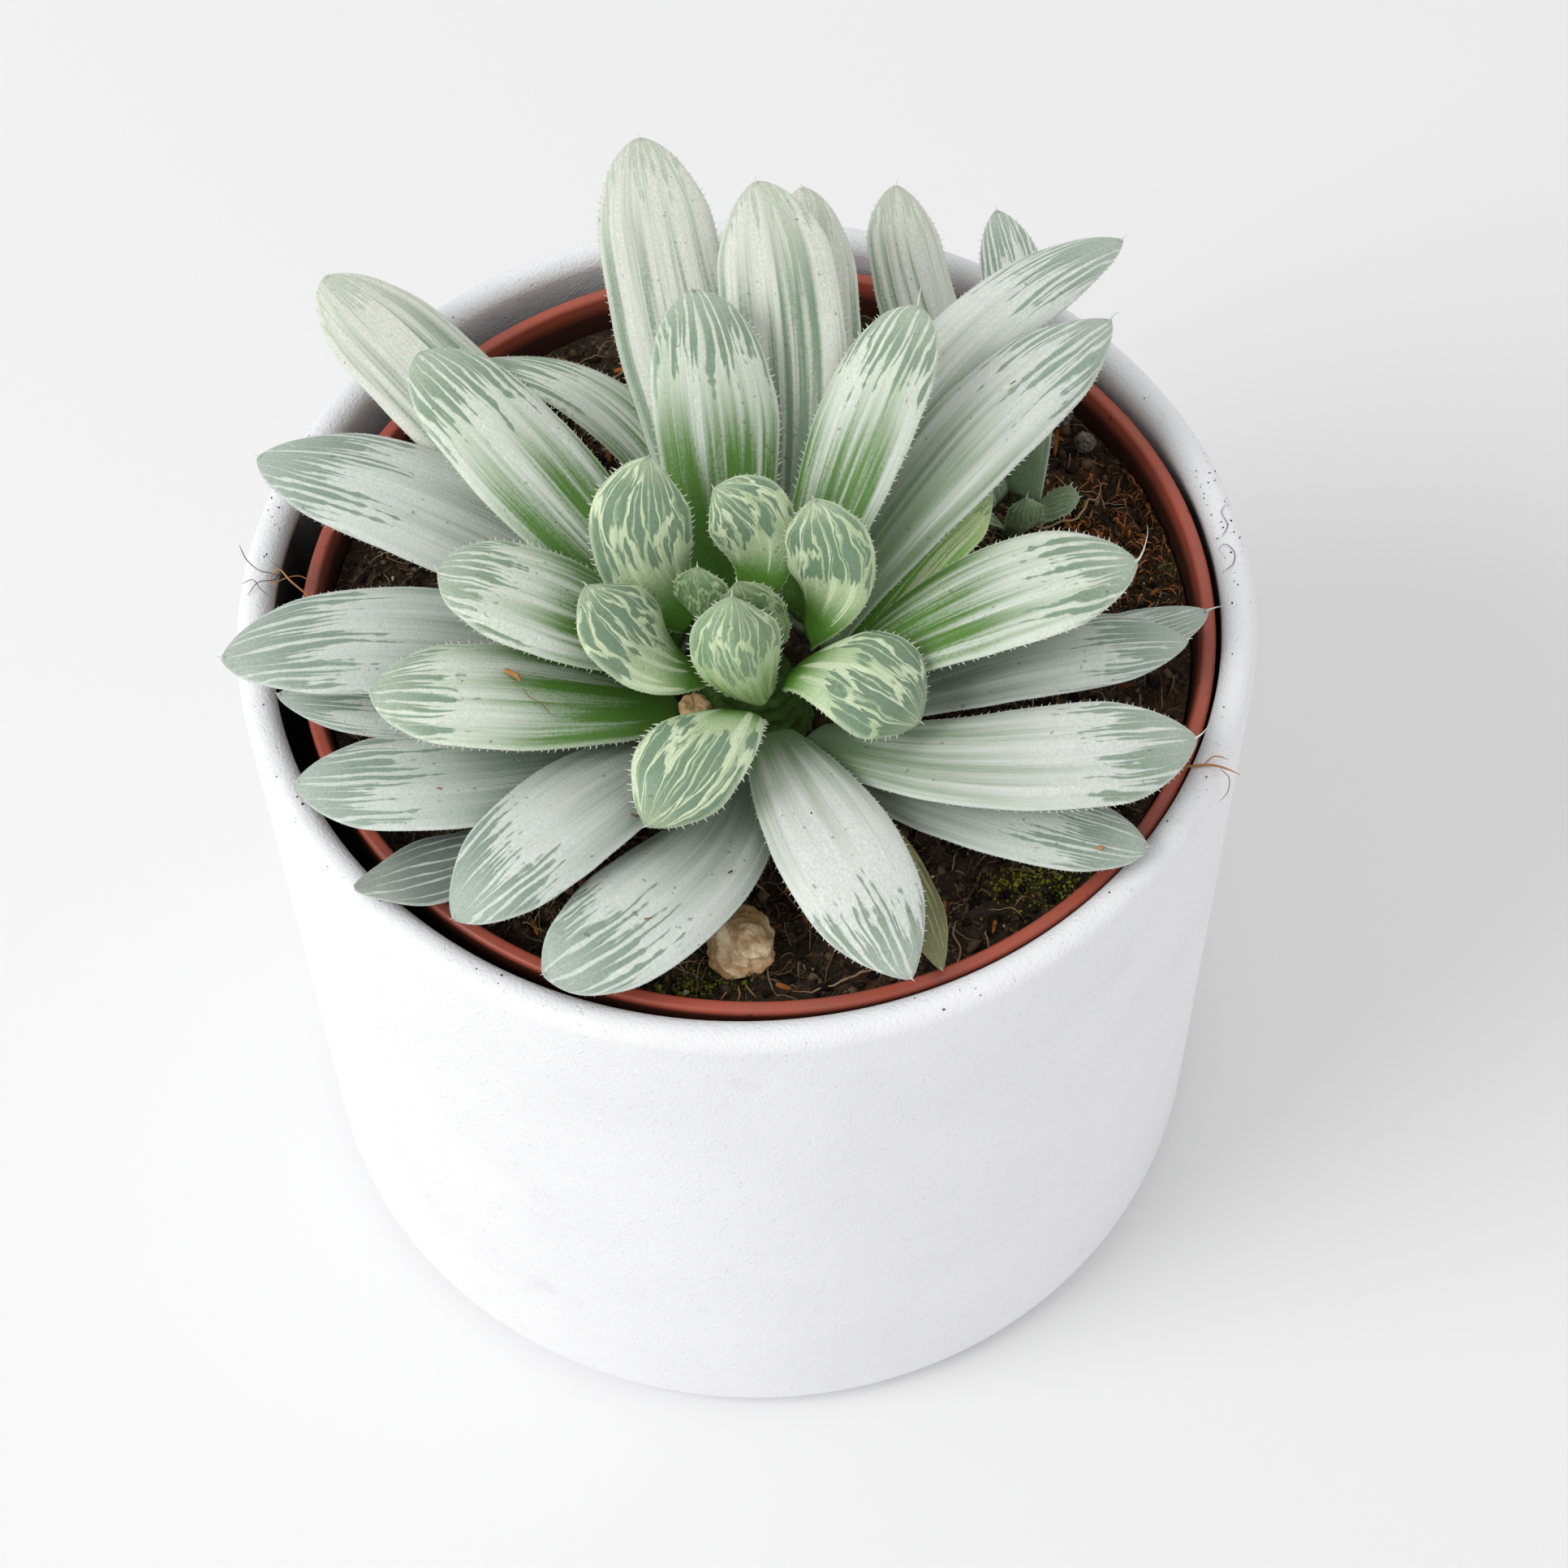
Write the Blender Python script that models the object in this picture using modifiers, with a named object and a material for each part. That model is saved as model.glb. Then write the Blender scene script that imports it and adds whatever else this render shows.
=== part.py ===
"""Potted variegated window-leaf succulent, in a plastic nursery pot inside a white ceramic cover pot.

Frame: metres, +Z up, origin at the centre of the cover pot's flat underside, the front is -Y.
Every physical piece is one closed solid in one object: the two pots, the growing mix, the stem and
each leaf, the offset's stem and leaves, the cut flower stalk, the dry husk and the pumice grains.
Pieces that touch keep TOUCH_GAP between them.
"""

import math
from collections import namedtuple

import bmesh
import bpy
import numpy as np
from mathutils import Vector

MM = 0.001
OBJECT_NAME = "potted_succulent"
TOUCH_GAP = 0.3 * MM

# ---- Cover pot: a plain thrown cylinder, closed at the bottom ----
POT_RADIUS = 47.5 * MM
POT_HEIGHT = 80.0 * MM
POT_WALL = 3.2 * MM
POT_FLOOR = 4.0 * MM
POT_FOOT_ROUND = 3.5 * MM
POT_INNER_ROUND = 3.0 * MM
POT_SEGMENTS = 48

# ---- Nursery pot: thin moulded plastic with a thicker lip, a foot step and drain holes ----
# It stands on the cover pot's floor, set down below the rim, and leans one way in the play it has.
NURSERY_LIP_PLAY = 1.45 * MM
NURSERY_LEAN = math.radians(-27.0)
NURSERY_SET_DOWN = 1.7 * MM
NURSERY_LIP_HEIGHT = 6.0 * MM
NURSERY_LIP_THICKNESS = 1.35 * MM
NURSERY_LIP_ROUND = 0.4 * MM
NURSERY_WALL = 1.0 * MM
NURSERY_BASE_SHARE = 0.73
NURSERY_FOOT_LIFT = 2.0 * MM
NURSERY_FOOT_WIDTH = 4.0 * MM
NURSERY_SEGMENTS = 48
NURSERY_BASE = POT_FLOOR + TOUCH_GAP
NURSERY_HEIGHT = POT_HEIGHT - NURSERY_SET_DOWN - NURSERY_BASE
NURSERY_LIP_RADIUS = POT_RADIUS - POT_WALL - NURSERY_LIP_PLAY
NURSERY_BASE_RADIUS = NURSERY_LIP_RADIUS * NURSERY_BASE_SHARE
NURSERY_SLIDE = NURSERY_LIP_PLAY - TOUCH_GAP
NURSERY_PLACE = Vector((NURSERY_SLIDE * math.cos(NURSERY_LEAN), NURSERY_SLIDE * math.sin(NURSERY_LEAN), 0.0))
DRAIN_HOLES = 6
DRAIN_HOLE_RADIUS = 3.0 * MM
DRAIN_RING_RADIUS = 18.0 * MM

# ---- Growing mix: fills the nursery pot and rises a little round the plant ----
SOIL_DROP_AT_WALL = 3.5 * MM
SOIL_MOUND = 0.2 * MM
SOIL_RINGS = 6
SOIL_SEGMENTS = 40
SOIL_CROWN = NURSERY_BASE + NURSERY_HEIGHT - SOIL_DROP_AT_WALL + SOIL_MOUND

# ---- Plant ----
PLANT_PLACE = Vector((0.0, -10.0 * MM, 0.0))
STEM_SEGMENTS = 20
LEAF_RING_POINTS = 10
SMALL_LEAF_RING_POINTS = 8
LEAF_STATIONS = (0.0, 0.13, 0.29, 0.45, 0.61, 0.76, 0.88, 0.96)
SMALL_LEAF_STATIONS = (0.0, 0.22, 0.45, 0.66, 0.84, 0.95)
LEAF_WIDEST_AT = 0.60
LEAF_TOP_SHARE = 0.38
LEAF_EDGE_SHARPNESS = 1.2
LEAF_SHEATH_LENGTH = 0.12
LEAF_TURN_LENGTH = 0.5

# All heights on the plant are above the crown of the growing mix.
# A tier is a turn of leaves on the stem: its height, the share of the leaf's width that clasps
# the stem, and the share of its thickness there.
Tier = namedtuple("Tier", "height clasp_width clasp_thickness")
TIERS = {
    "lowest": Tier(2.6 * MM, 0.38, 0.50),
    "lower": Tier(4.9 * MM, 0.38, 0.50),
    "middle": Tier(7.3 * MM, 0.40, 0.52),
    "upper": Tier(9.5 * MM, 0.40, 0.50),
    "inner": Tier(11.8 * MM, 0.40, 0.50),
    "bud": Tier(14.4 * MM, 0.45, 0.60),
    "offset": Tier(2.5 * MM, 0.50, 0.60),
}

# Stem outline from its flared foot up: (height, radius).
STEM_OUTLINE = (
    (0.5 * MM, 8.2 * MM),
    (4.0 * MM, 7.6 * MM),
    (7.0 * MM, 6.8 * MM),
    (10.0 * MM, 5.6 * MM),
    (12.5 * MM, 4.2 * MM),
    (14.0 * MM, 2.4 * MM),
    (15.0 * MM, 1.2 * MM),
)
STEM_ROOT_RADIUS = 3.0 * MM
STEM_ROOT_DEPTH = 14.0 * MM

# ---- Offset: a young rosette of its own beside the plant ----
# Its place, like those of the loose pieces, is a direction round the nursery pot in degrees and a
# share of the growing mix's radius.
OFFSET_SPOT = (24.2, 0.665)
OFFSET_OUTLINE = (
    (0.5 * MM, 1.7 * MM),
    (3.5 * MM, 1.5 * MM),
    (5.0 * MM, 0.8 * MM),
)
OFFSET_ROOT_RADIUS = 1.2 * MM
OFFSET_ROOT_DEPTH = 8.0 * MM

# ---- Flower stalk: the cut stub of a spent stalk, in the axil of a middle leaf ----
STALK_RADIUS = 1.45 * MM
STALK_DIRECTION = 229.7
STALK_REACH = 7.6 * MM
STALK_FOOT = 9.3 * MM
STALK_TOP = 11.0 * MM

# ---- Loose pieces on the mix: name, spot, half sizes in millimetres, turn in degrees, seed ----
LOOSE_PIECES = (
    ("pumice_1", (38.5, 0.945), (1.5, 1.4, 1.3), 20, 1),
    ("pumice_2", (36.5, 0.86), (1.5, 1.4, 1.2), 75, 2),
    ("pumice_3", (32.5, 0.945), (1.2, 1.1, 1.0), 130, 3),
    ("dry_husk", (265.6, 0.86), (3.2, 3.7, 1.9), 10, 4),
)

# A leaf is a plump blade on a curved centre line from its clasp on the stem to its tip.
# root and tip are directions round the plant in degrees, counter-clockwise from +X; reach and
# rise place the tip from the plant's axis and the crown of the mix; arch lifts the middle of the
# centre line and bend moves it to the left, all in millimetres; a lower blunt rounds the tip
# more, and turn swings the blade's face round the plant, in degrees.
Leaf = namedtuple("Leaf", "name tier root tip reach rise arch bend width thickness blunt turn")
LEAVES = (
    Leaf("leaf_lowest_01", "lowest", 75.5, 82, 47, 20.5, 2.8, -2.5, 8.9, 3.0, 0.5, 0),
    Leaf("leaf_lowest_02", "lowest", 136.2, 132, 59, 13, 4, 1, 11.5, 3.2, 0.5, 0),
    Leaf("leaf_lowest_03", "lowest", 106, 125, 44, 9, 5, -5, 6.5, 2.8, 0.7, 0),
    Leaf("leaf_lowest_04", "lowest", 184, 180, 43, 6, 3, 3, 7.3, 2.4, 0.7, 0),
    Leaf("leaf_lowest_05", "lowest", 208, 195, 42, 8, 4.8, 5, 10.5, 3.0, 0.6, 0),
    Leaf("leaf_lowest_06", "lowest", 235, 211, 41, 6.5, 2, 3, 6.5, 2.2, 0.6, 0),
    Leaf("leaf_lowest_07", "lowest", 262, 239, 36, 7, 4, 5, 11.5, 3.6, 0.5, 0),
    Leaf("leaf_lowest_08", "lowest", 290, 298, 34, 4, 2, 2, 4.5, 1.8, 0.7, 0),
    Leaf("leaf_lowest_09", "lowest", 317, 330, 40, 7, 3, -3, 8.8, 2.8, 0.55, 0),
    Leaf("leaf_lowest_10", "lowest", 340, 1, 40, 9, 4, -1, 8.4, 2.8, 0.7, 0),
    Leaf("leaf_lowest_11", "lowest", 4.5, 8, 43, 6, 2, -3, 6.5, 2.0, 0.6, 0),
    Leaf("leaf_lowest_12", "lowest", 91.3, 103, 45, 5, 2, 0, 3.0, 1.7, 0.6, 0),
    Leaf("leaf_lowest_13", "lowest", 118.5, 110, 28, 3.3, 1.5, 0, 2.0, 1.5, 0.6, 0),
    Leaf("leaf_lower_01", "lower", 90, 100, 50, 25, 4, 1, 11.5, 3.6, 0.5, 0),
    Leaf("leaf_lower_02", "lower", 49, 48, 55, 18, 5, 3.8, 8.2, 3.4, 0.55, 0),
    Leaf("leaf_lower_03", "lower", 10, 35, 28, 12, 2, 0, 6.5, 2.8, 0.6, 0),
    Leaf("leaf_lower_04", "lower", 147, 154, 50, 13, 4, -0.5, 12.2, 3.4, 0.6, 0),
    Leaf("leaf_lower_05", "lower", 184.5, 181, 47, 13, 4, -1, 11.8, 3.4, 0.55, 0),
    Leaf("leaf_lower_06", "lower", 232, 225, 37, 9, 5, 1, 11.0, 3.6, 0.6, 0),
    Leaf("leaf_lower_07", "lower", 312, 344, 41, 11, 4, -5, 11.5, 3.4, 0.65, 0),
    Leaf("leaf_middle_01", "middle", 72.5, 87, 41.5, 27, 2.8, -2.2, 11.6, 3.6, 0.55, 0),
    Leaf("leaf_middle_02", "middle", 25, 41, 46, 19, 4, 0.5, 10.5, 3.8, 0.7, 0),
    Leaf("leaf_middle_03", "middle", 145, 137, 40, 21, 3, 1, 11.5, 3.8, 0.5, 0),
    Leaf("leaf_middle_04", "middle", 210, 193, 34, 17, 3, 2, 12.5, 3.6, 0.6, 0),
    Leaf("leaf_middle_05", "middle", 284, 292, 35, 7, 4, -1, 11.0, 3.6, 0.75, 0),
    Leaf("leaf_middle_06", "middle", 345, 5, 35, 18, 3, 0, 12.5, 3.8, 0.65, 0),
    Leaf("leaf_upper_01", "upper", 45, 58, 31, 26.5, 2.2, 0, 9.8, 4.0, 0.5, 0),
    Leaf("leaf_upper_02", "upper", 110, 98, 28, 28, 2, -1, 11.5, 4.0, 0.55, 0),
    Leaf("leaf_upper_03", "upper", 175, 176, 27, 21.6, 2, 1, 11.5, 4.0, 0.5, 0),
    Leaf("leaf_upper_04", "upper", 261.5, 245, 22, 13, 4.5, 1, 9.8, 4.0, 0.4, 0),
    Leaf("leaf_inner_01", "inner", 148, 129, 13, 26.3, 1, 3, 9.5, 4.0, 0.4, -45),
    Leaf("leaf_inner_02", "inner", 3, 44, 8.5, 25, -1, -1.5, 8.5, 4.0, 0.4, 70),
    Leaf("leaf_inner_03", "inner", 215, 179, 14, 21, 1, 2, 10, 3.6, 0.5, -55),
    Leaf("leaf_inner_04", "inner", 280.5, 240, 2.5, 22, -1.5, 0, 8.4, 4.4, 0.5, 0),
    Leaf("leaf_inner_05", "inner", 317, 326, 18, 13, 4, 0, 11.0, 4.4, 0.4, 0),
    Leaf("leaf_bud_01", "bud", 77, 108, 8.5, 24, 1, -2, 8.0, 3.0, 0.4, 20),
    Leaf("leaf_bud_02", "bud", 197, 165, 4.3, 22, 0, 0, 4.8, 2.0, 0.6, 50),
    Leaf("leaf_bud_03", "bud", 322, 218, 1.0, 22, 0, 0, 4.3, 2.0, 0.6, -50),
)
OFFSET_LEAVES = (
    Leaf("offset_leaf_01", "offset", 275, 290, 2.5, 8, -0.5, 0, 3.2, 1.6, 0.6, 0),
    Leaf("offset_leaf_02", "offset", 342, 350, 6.2, 6, 0.5, 0, 3.8, 1.6, 0.5, 0),
    Leaf("offset_leaf_03", "offset", 50, 90, 30, 12, 2, -1, 6.5, 2.4, 0.6, 0),
    Leaf("offset_leaf_04", "offset", 140, 106, 35, 12, 2, 2, 8.0, 2.6, 0.55, 0),
    Leaf("offset_leaf_05", "offset", 212, 205, 5.0, 6, 0.5, 0, 3.6, 1.6, 0.6, 0),
)
SMALL_TIERS = ("bud", "offset")


# ---- Helpers ----

def clear_scene():
    """Remove every object, so that only the part is in the file."""
    for scene_object in list(bpy.data.objects):
        bpy.data.objects.remove(scene_object, do_unlink=True)


def new_collection(name, hidden=False):
    """A collection in the scene, hidden from render if it only holds cutters."""
    collection = bpy.data.collections.new(name)
    bpy.context.scene.collection.children.link(collection)
    collection.hide_render = hidden
    return collection


def principled(name, colour, roughness, metallic=0.0):
    """A material with one Principled BSDF."""
    material = bpy.data.materials.new(name)
    material.use_nodes = True
    shader = material.node_tree.nodes["Principled BSDF"]
    shader.inputs["Base Color"].default_value = (*colour, 1.0)
    shader.inputs["Roughness"].default_value = roughness
    shader.inputs["Metallic"].default_value = metallic
    return material


def add_object(name, mesh, collection, material, smooth_angle=40.0):
    """Link a mesh as a named object, shaded smooth except across sharp edges."""
    part = bpy.data.objects.new(name, mesh)
    collection.objects.link(part)
    mesh.materials.append(material)
    mesh.shade_smooth()
    mesh.set_sharp_from_angle(angle=math.radians(smooth_angle))
    return part


def turned(name, profile, segments, collection, material):
    """A solid of revolution about its own Z: the (radius, height) profile, turned by a Screw."""
    mesh = bpy.data.meshes.new(name)
    points = [(radius, 0.0, height) for radius, height in profile]
    edges = [(index, index + 1) for index in range(len(points) - 1)]
    mesh.from_pydata(points, edges, [])
    part = bpy.data.objects.new(name, mesh)
    collection.objects.link(part)
    mesh.materials.append(material)
    screw = part.modifiers.new("Turn", "SCREW")
    screw.steps = segments
    screw.render_steps = segments
    screw.use_merge_vertices = True
    screw.merge_threshold = 0.0001
    screw.use_smooth_shade = True
    return part


def rounded_corner(centre, radius, start, end, steps):
    """Points along an arc in the profile plane, from the start to the end angle in degrees."""
    angles = np.radians(np.linspace(start, end, steps + 1))
    return [(centre[0] + radius * math.cos(a), centre[1] + radius * math.sin(a)) for a in angles]


# ---- Pots and growing mix ----

def cover_pot(collection):
    """Ceramic cylinder: floor, rounded inner corner, wall, round rim and small round foot."""
    inner = POT_RADIUS - POT_WALL
    rim_round = POT_WALL / 2.0
    profile = [(0.0, POT_FLOOR)]
    profile += rounded_corner((inner - POT_INNER_ROUND, POT_FLOOR + POT_INNER_ROUND),
                              POT_INNER_ROUND, -90.0, 0.0, 2)
    profile += rounded_corner((POT_RADIUS - rim_round, POT_HEIGHT - rim_round), rim_round, 180.0, 0.0, 6)
    profile += rounded_corner((POT_RADIUS - POT_FOOT_ROUND, POT_FOOT_ROUND), POT_FOOT_ROUND, 0.0, -90.0, 4)
    profile += [(0.0, 0.0)]
    material = principled("white_ceramic", (0.86, 0.87, 0.89), 0.65)
    return turned("cover_pot", profile, POT_SEGMENTS, collection, material)


def nursery_inner_radius(height):
    """Inside radius of the nursery pot's wall at a height above the resting face."""
    share = (height - NURSERY_BASE) / NURSERY_HEIGHT
    top_radius = NURSERY_LIP_RADIUS - NURSERY_LIP_THICKNESS
    base_radius = NURSERY_BASE_RADIUS - NURSERY_WALL
    return base_radius + (top_radius - base_radius) * share


def nursery_pot(collection, cutters):
    """Thin tapered pot with a lip, a raised floor inside its foot ring, and drain holes."""
    top = NURSERY_BASE + NURSERY_HEIGHT
    floor_under = NURSERY_BASE + NURSERY_FOOT_LIFT
    floor_over = floor_under + NURSERY_WALL
    lip_under = top - NURSERY_LIP_HEIGHT
    foot_inner = NURSERY_BASE_RADIUS - NURSERY_FOOT_WIDTH
    profile = [
        (0.0, floor_over),
        (nursery_inner_radius(floor_over), floor_over),
        (nursery_inner_radius(top), top - NURSERY_LIP_ROUND),
        (nursery_inner_radius(top) + NURSERY_LIP_ROUND, top),
        (NURSERY_LIP_RADIUS - NURSERY_LIP_ROUND, top),
        (NURSERY_LIP_RADIUS, top - NURSERY_LIP_ROUND),
        (NURSERY_LIP_RADIUS, lip_under),
        (nursery_inner_radius(lip_under) + NURSERY_WALL, lip_under),
        (NURSERY_BASE_RADIUS, NURSERY_BASE),
        (foot_inner, NURSERY_BASE),
        (foot_inner, floor_under),
        (0.0, floor_under),
    ]
    material = principled("terracotta_plastic", (0.42, 0.09, 0.045), 0.45)
    pot = turned("nursery_pot", profile, NURSERY_SEGMENTS, collection, material)
    pot.location = NURSERY_PLACE
    for index in range(DRAIN_HOLES):
        angle = 2.0 * math.pi * index / DRAIN_HOLES
        bpy.ops.mesh.primitive_cylinder_add(
            vertices=12,
            radius=DRAIN_HOLE_RADIUS,
            depth=4.0 * NURSERY_WALL,
            location=(
                NURSERY_PLACE.x + DRAIN_RING_RADIUS * math.cos(angle),
                NURSERY_PLACE.y + DRAIN_RING_RADIUS * math.sin(angle),
                (floor_under + floor_over) / 2.0,
            ),
        )
        cutter = bpy.context.active_object
        move_to_cutters(cutter, f"drain_hole_cutter_{index + 1}", cutters)
        cut = pot.modifiers.new(f"Drain {index + 1}", "BOOLEAN")
        cut.operation = "DIFFERENCE"
        cut.solver = "EXACT"
        cut.object = cutter
    return pot


def move_to_cutters(cutter, name, cutters):
    """Name a cutter and keep it out of the part."""
    cutter.name = name
    for owner in list(cutter.users_collection):
        owner.objects.unlink(cutter)
    cutters.objects.link(cutter)
    cutter.hide_render = True
    cutter.display_type = "WIRE"


def soil_height(share):
    """Height of the growing mix at a share of its radius: highest in the middle."""
    return SOIL_CROWN - SOIL_MOUND * math.sin(share * math.pi / 2.0) ** 2


def soil_edge_radius():
    """Radius of the growing mix's upper edge, just inside the nursery pot's wall."""
    return nursery_inner_radius(soil_height(1.0)) - TOUCH_GAP


def soil_spot(direction, share):
    """A place on the growing mix, at a direction in degrees and a share of its radius."""
    angle = math.radians(direction)
    reach = share * soil_edge_radius()
    return NURSERY_PLACE + Vector((reach * math.cos(angle), reach * math.sin(angle), 0.0))


def soil_surface_at(place, spread=0.0):
    """Height of the growing mix at its highest within a spread of a place."""
    reach = max((place - NURSERY_PLACE).length - spread, 0.0)
    return soil_height(reach / soil_edge_radius())


def soil(collection, cutters):
    """Growing mix that fills the nursery pot, with the stems' sockets cut out of it."""
    floor = NURSERY_BASE + NURSERY_FOOT_LIFT + NURSERY_WALL + TOUCH_GAP
    profile = []
    for ring in range(SOIL_RINGS + 1):
        share = ring / SOIL_RINGS
        profile.append((soil_edge_radius() * share, soil_height(share)))
    profile.append((nursery_inner_radius(floor) - TOUCH_GAP, floor))
    profile.append((0.0, floor))
    material = principled("peat", (0.035, 0.02, 0.012), 0.95)
    block = turned("soil", profile, SOIL_SEGMENTS, collection, material)
    block.location = NURSERY_PLACE
    sockets = (
        ("stem_socket_cutter", PLANT_PLACE, STEM_ROOT_RADIUS, STEM_ROOT_DEPTH),
        ("offset_socket_cutter", soil_spot(*OFFSET_SPOT), OFFSET_ROOT_RADIUS, OFFSET_ROOT_DEPTH),
    )
    for name, place, radius, root_depth in sockets:
        bottom = soil_surface_at(place) - root_depth
        depth = POT_HEIGHT - bottom + TOUCH_GAP
        bpy.ops.mesh.primitive_cylinder_add(
            vertices=STEM_SEGMENTS,
            radius=radius + TOUCH_GAP,
            depth=depth,
            location=(place.x, place.y, bottom - TOUCH_GAP + depth / 2.0),
        )
        cutter = bpy.context.active_object
        move_to_cutters(cutter, name, cutters)
        cut = block.modifiers.new(name, "BOOLEAN")
        cut.operation = "DIFFERENCE"
        cut.solver = "EXACT"
        cut.object = cutter
    return block


# ---- Plant ----

def stem(name, place, outline, root_radius, root_depth, collection):
    """A short stem: a root stock down in the mix and a flared, tapering top that the leaves clasp."""
    bottom = soil_surface_at(place) - root_depth
    foot_radius = outline[0][1]
    foot = soil_surface_at(place, foot_radius) + TOUCH_GAP
    profile = [(0.0, SOIL_CROWN + outline[-1][0])]
    profile += [(radius, SOIL_CROWN + height) for height, radius in reversed(outline)]
    profile += [(foot_radius, foot), (root_radius, foot), (root_radius, bottom), (0.0, bottom)]
    material = principled(name, (0.36, 0.42, 0.18), 0.7)
    part = turned(name, profile, STEM_SEGMENTS, collection, material)
    part.location = place
    return part


def outline_radius(outline, height):
    """Radius of a stem outline at a height above the crown of the mix."""
    heights = [point[0] for point in outline]
    radii = [point[1] for point in outline]
    return float(np.interp(height, heights, radii))


def leaf_width_share(along):
    """Swell from the clasp to the leaf's widest place, and the closing from there to the tip."""
    swell = np.sin(np.clip(along / LEAF_WIDEST_AT, 0.0, 1.0) * math.pi / 2.0)
    close = np.clip((along - LEAF_WIDEST_AT) / (1.0 - LEAF_WIDEST_AT), 0.0, 1.0)
    return swell, 1.0 - close ** 2


def leaf_centre_line(leaf, place, outline, along):
    """Points of a leaf's centre line: an arc through root, lifted middle and tip."""
    tier = TIERS[leaf.tier]
    under = leaf.thickness * MM * tier.clasp_thickness * (1.0 - LEAF_TOP_SHARE)
    root_radius = outline_radius(outline, tier.height - under) + TOUCH_GAP
    root_angle = math.radians(leaf.root)
    tip_angle = math.radians(leaf.tip)
    root = np.array([place.x + root_radius * math.cos(root_angle),
                     place.y + root_radius * math.sin(root_angle),
                     SOIL_CROWN + tier.height])
    tip = np.array([place.x + leaf.reach * MM * math.cos(tip_angle),
                    place.y + leaf.reach * MM * math.sin(tip_angle),
                    SOIL_CROWN + leaf.rise * MM])
    chord = tip - root
    left = np.array([-math.sin(tip_angle), math.cos(tip_angle), 0.0])
    if math.hypot(chord[0], chord[1]) > 0.5 * abs(chord[2]):
        left = np.array([-chord[1], chord[0], 0.0])
        left /= np.linalg.norm(left)
    lift = np.cross(chord, left)
    lift /= np.linalg.norm(lift)
    middle = (root + tip) / 2.0 + (leaf.arch * lift + leaf.bend * left) * MM
    control = 2.0 * middle - (root + tip) / 2.0
    weight = np.asarray(along)[:, None]
    points = (1.0 - weight) ** 2 * root + 2.0 * weight * (1.0 - weight) * control + weight ** 2 * tip
    tangents = (1.0 - weight) * (control - root) + weight * (tip - control)
    tangents /= np.linalg.norm(tangents, axis=1)[:, None]
    return points, tangents


def leaf_rings(leaf, place, outline):
    """Cross-sections of a leaf from clasp to tip: a flatter upper face and a fuller keeled back."""
    small = leaf.tier in SMALL_TIERS
    along = np.array(SMALL_LEAF_STATIONS if small else LEAF_STATIONS)
    count = SMALL_LEAF_RING_POINTS if small else LEAF_RING_POINTS
    tier = TIERS[leaf.tier]
    points, tangents = leaf_centre_line(leaf, place, outline, np.append(along, 1.0))
    swell, close = leaf_width_share(along)
    half_width = leaf.width * MM / 2.0 * (tier.clasp_width + (1.0 - tier.clasp_width) * swell)
    half_width = half_width * close ** leaf.blunt
    depth = leaf.thickness * MM * (tier.clasp_thickness + (1.0 - tier.clasp_thickness) * swell)
    depth = depth * close ** 0.7
    outward = np.array([math.cos(math.radians(leaf.root)), math.sin(math.radians(leaf.root)), 0.0])
    turn = 2.0 * math.pi * np.arange(count) / count
    edge = np.sign(np.sin(turn)) * np.abs(np.sin(turn)) ** LEAF_EDGE_SHARPNESS
    rings = []
    for index, share in enumerate(along):
        sheath = min(share / LEAF_SHEATH_LENGTH, 1.0)
        tangent = outward * (1.0 - sheath) + tangents[index] * sheath
        tangent /= np.linalg.norm(tangent)
        facing = math.radians(leaf.root + leaf.turn * min(share / LEAF_TURN_LENGTH, 1.0))
        across = np.array([-math.sin(facing), math.cos(facing), 0.0])
        across -= tangent * across.dot(tangent)
        across /= np.linalg.norm(across)
        upward = np.cross(tangent, across)
        over = np.where(edge > 0.0, edge * LEAF_TOP_SHARE, edge * (1.0 - LEAF_TOP_SHARE)) * depth[index]
        ring = points[index] + np.outer(np.cos(turn) * half_width[index], across) + np.outer(over, upward)
        rings.append(ring)
    return rings, points[-1]


def leaf_part(leaf, place, outline, collection, colour):
    """Loft a leaf through its rings, close the clasp with a flat face and the tip with a point."""
    rings, tip = leaf_rings(leaf, place, outline)
    mesh = bpy.data.meshes.new(leaf.name)
    build = bmesh.new()
    loops = [[build.verts.new(point) for point in ring] for ring in rings]
    tip_vertex = build.verts.new(tip)
    count = len(loops[0])
    build.faces.new(list(reversed(loops[0])))
    for lower, upper in zip(loops[:-1], loops[1:]):
        for index in range(count):
            following = (index + 1) % count
            build.faces.new((lower[index], lower[following], upper[following], upper[index]))
    for index in range(count):
        build.faces.new((loops[-1][index], loops[-1][(index + 1) % count], tip_vertex))
    bmesh.ops.triangulate(build, faces=build.faces[:])
    bmesh.ops.recalc_face_normals(build, faces=build.faces[:])
    build.to_mesh(mesh)
    build.free()
    return add_object(leaf.name, mesh, collection, principled(leaf.name, colour, 0.4), 70.0)


def flower_stalk(collection):
    """The cut stub of a flower stalk, upright between two leaves."""
    angle = math.radians(STALK_DIRECTION)
    top = SOIL_CROWN + STALK_TOP
    foot = SOIL_CROWN + STALK_FOOT
    profile = [
        (0.0, top),
        (STALK_RADIUS * 0.7, top - STALK_RADIUS * 0.1),
        (STALK_RADIUS, top - STALK_RADIUS * 0.5),
        (STALK_RADIUS, foot),
        (0.0, foot),
    ]
    material = principled("dry_stalk", (0.45, 0.27, 0.13), 0.7)
    stub = turned("flower_stalk_stub", profile, 12, collection, material)
    stub.location = PLANT_PLACE + Vector((STALK_REACH * math.cos(angle), STALK_REACH * math.sin(angle), 0.0))
    return stub


# ---- Loose pieces ----

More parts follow.
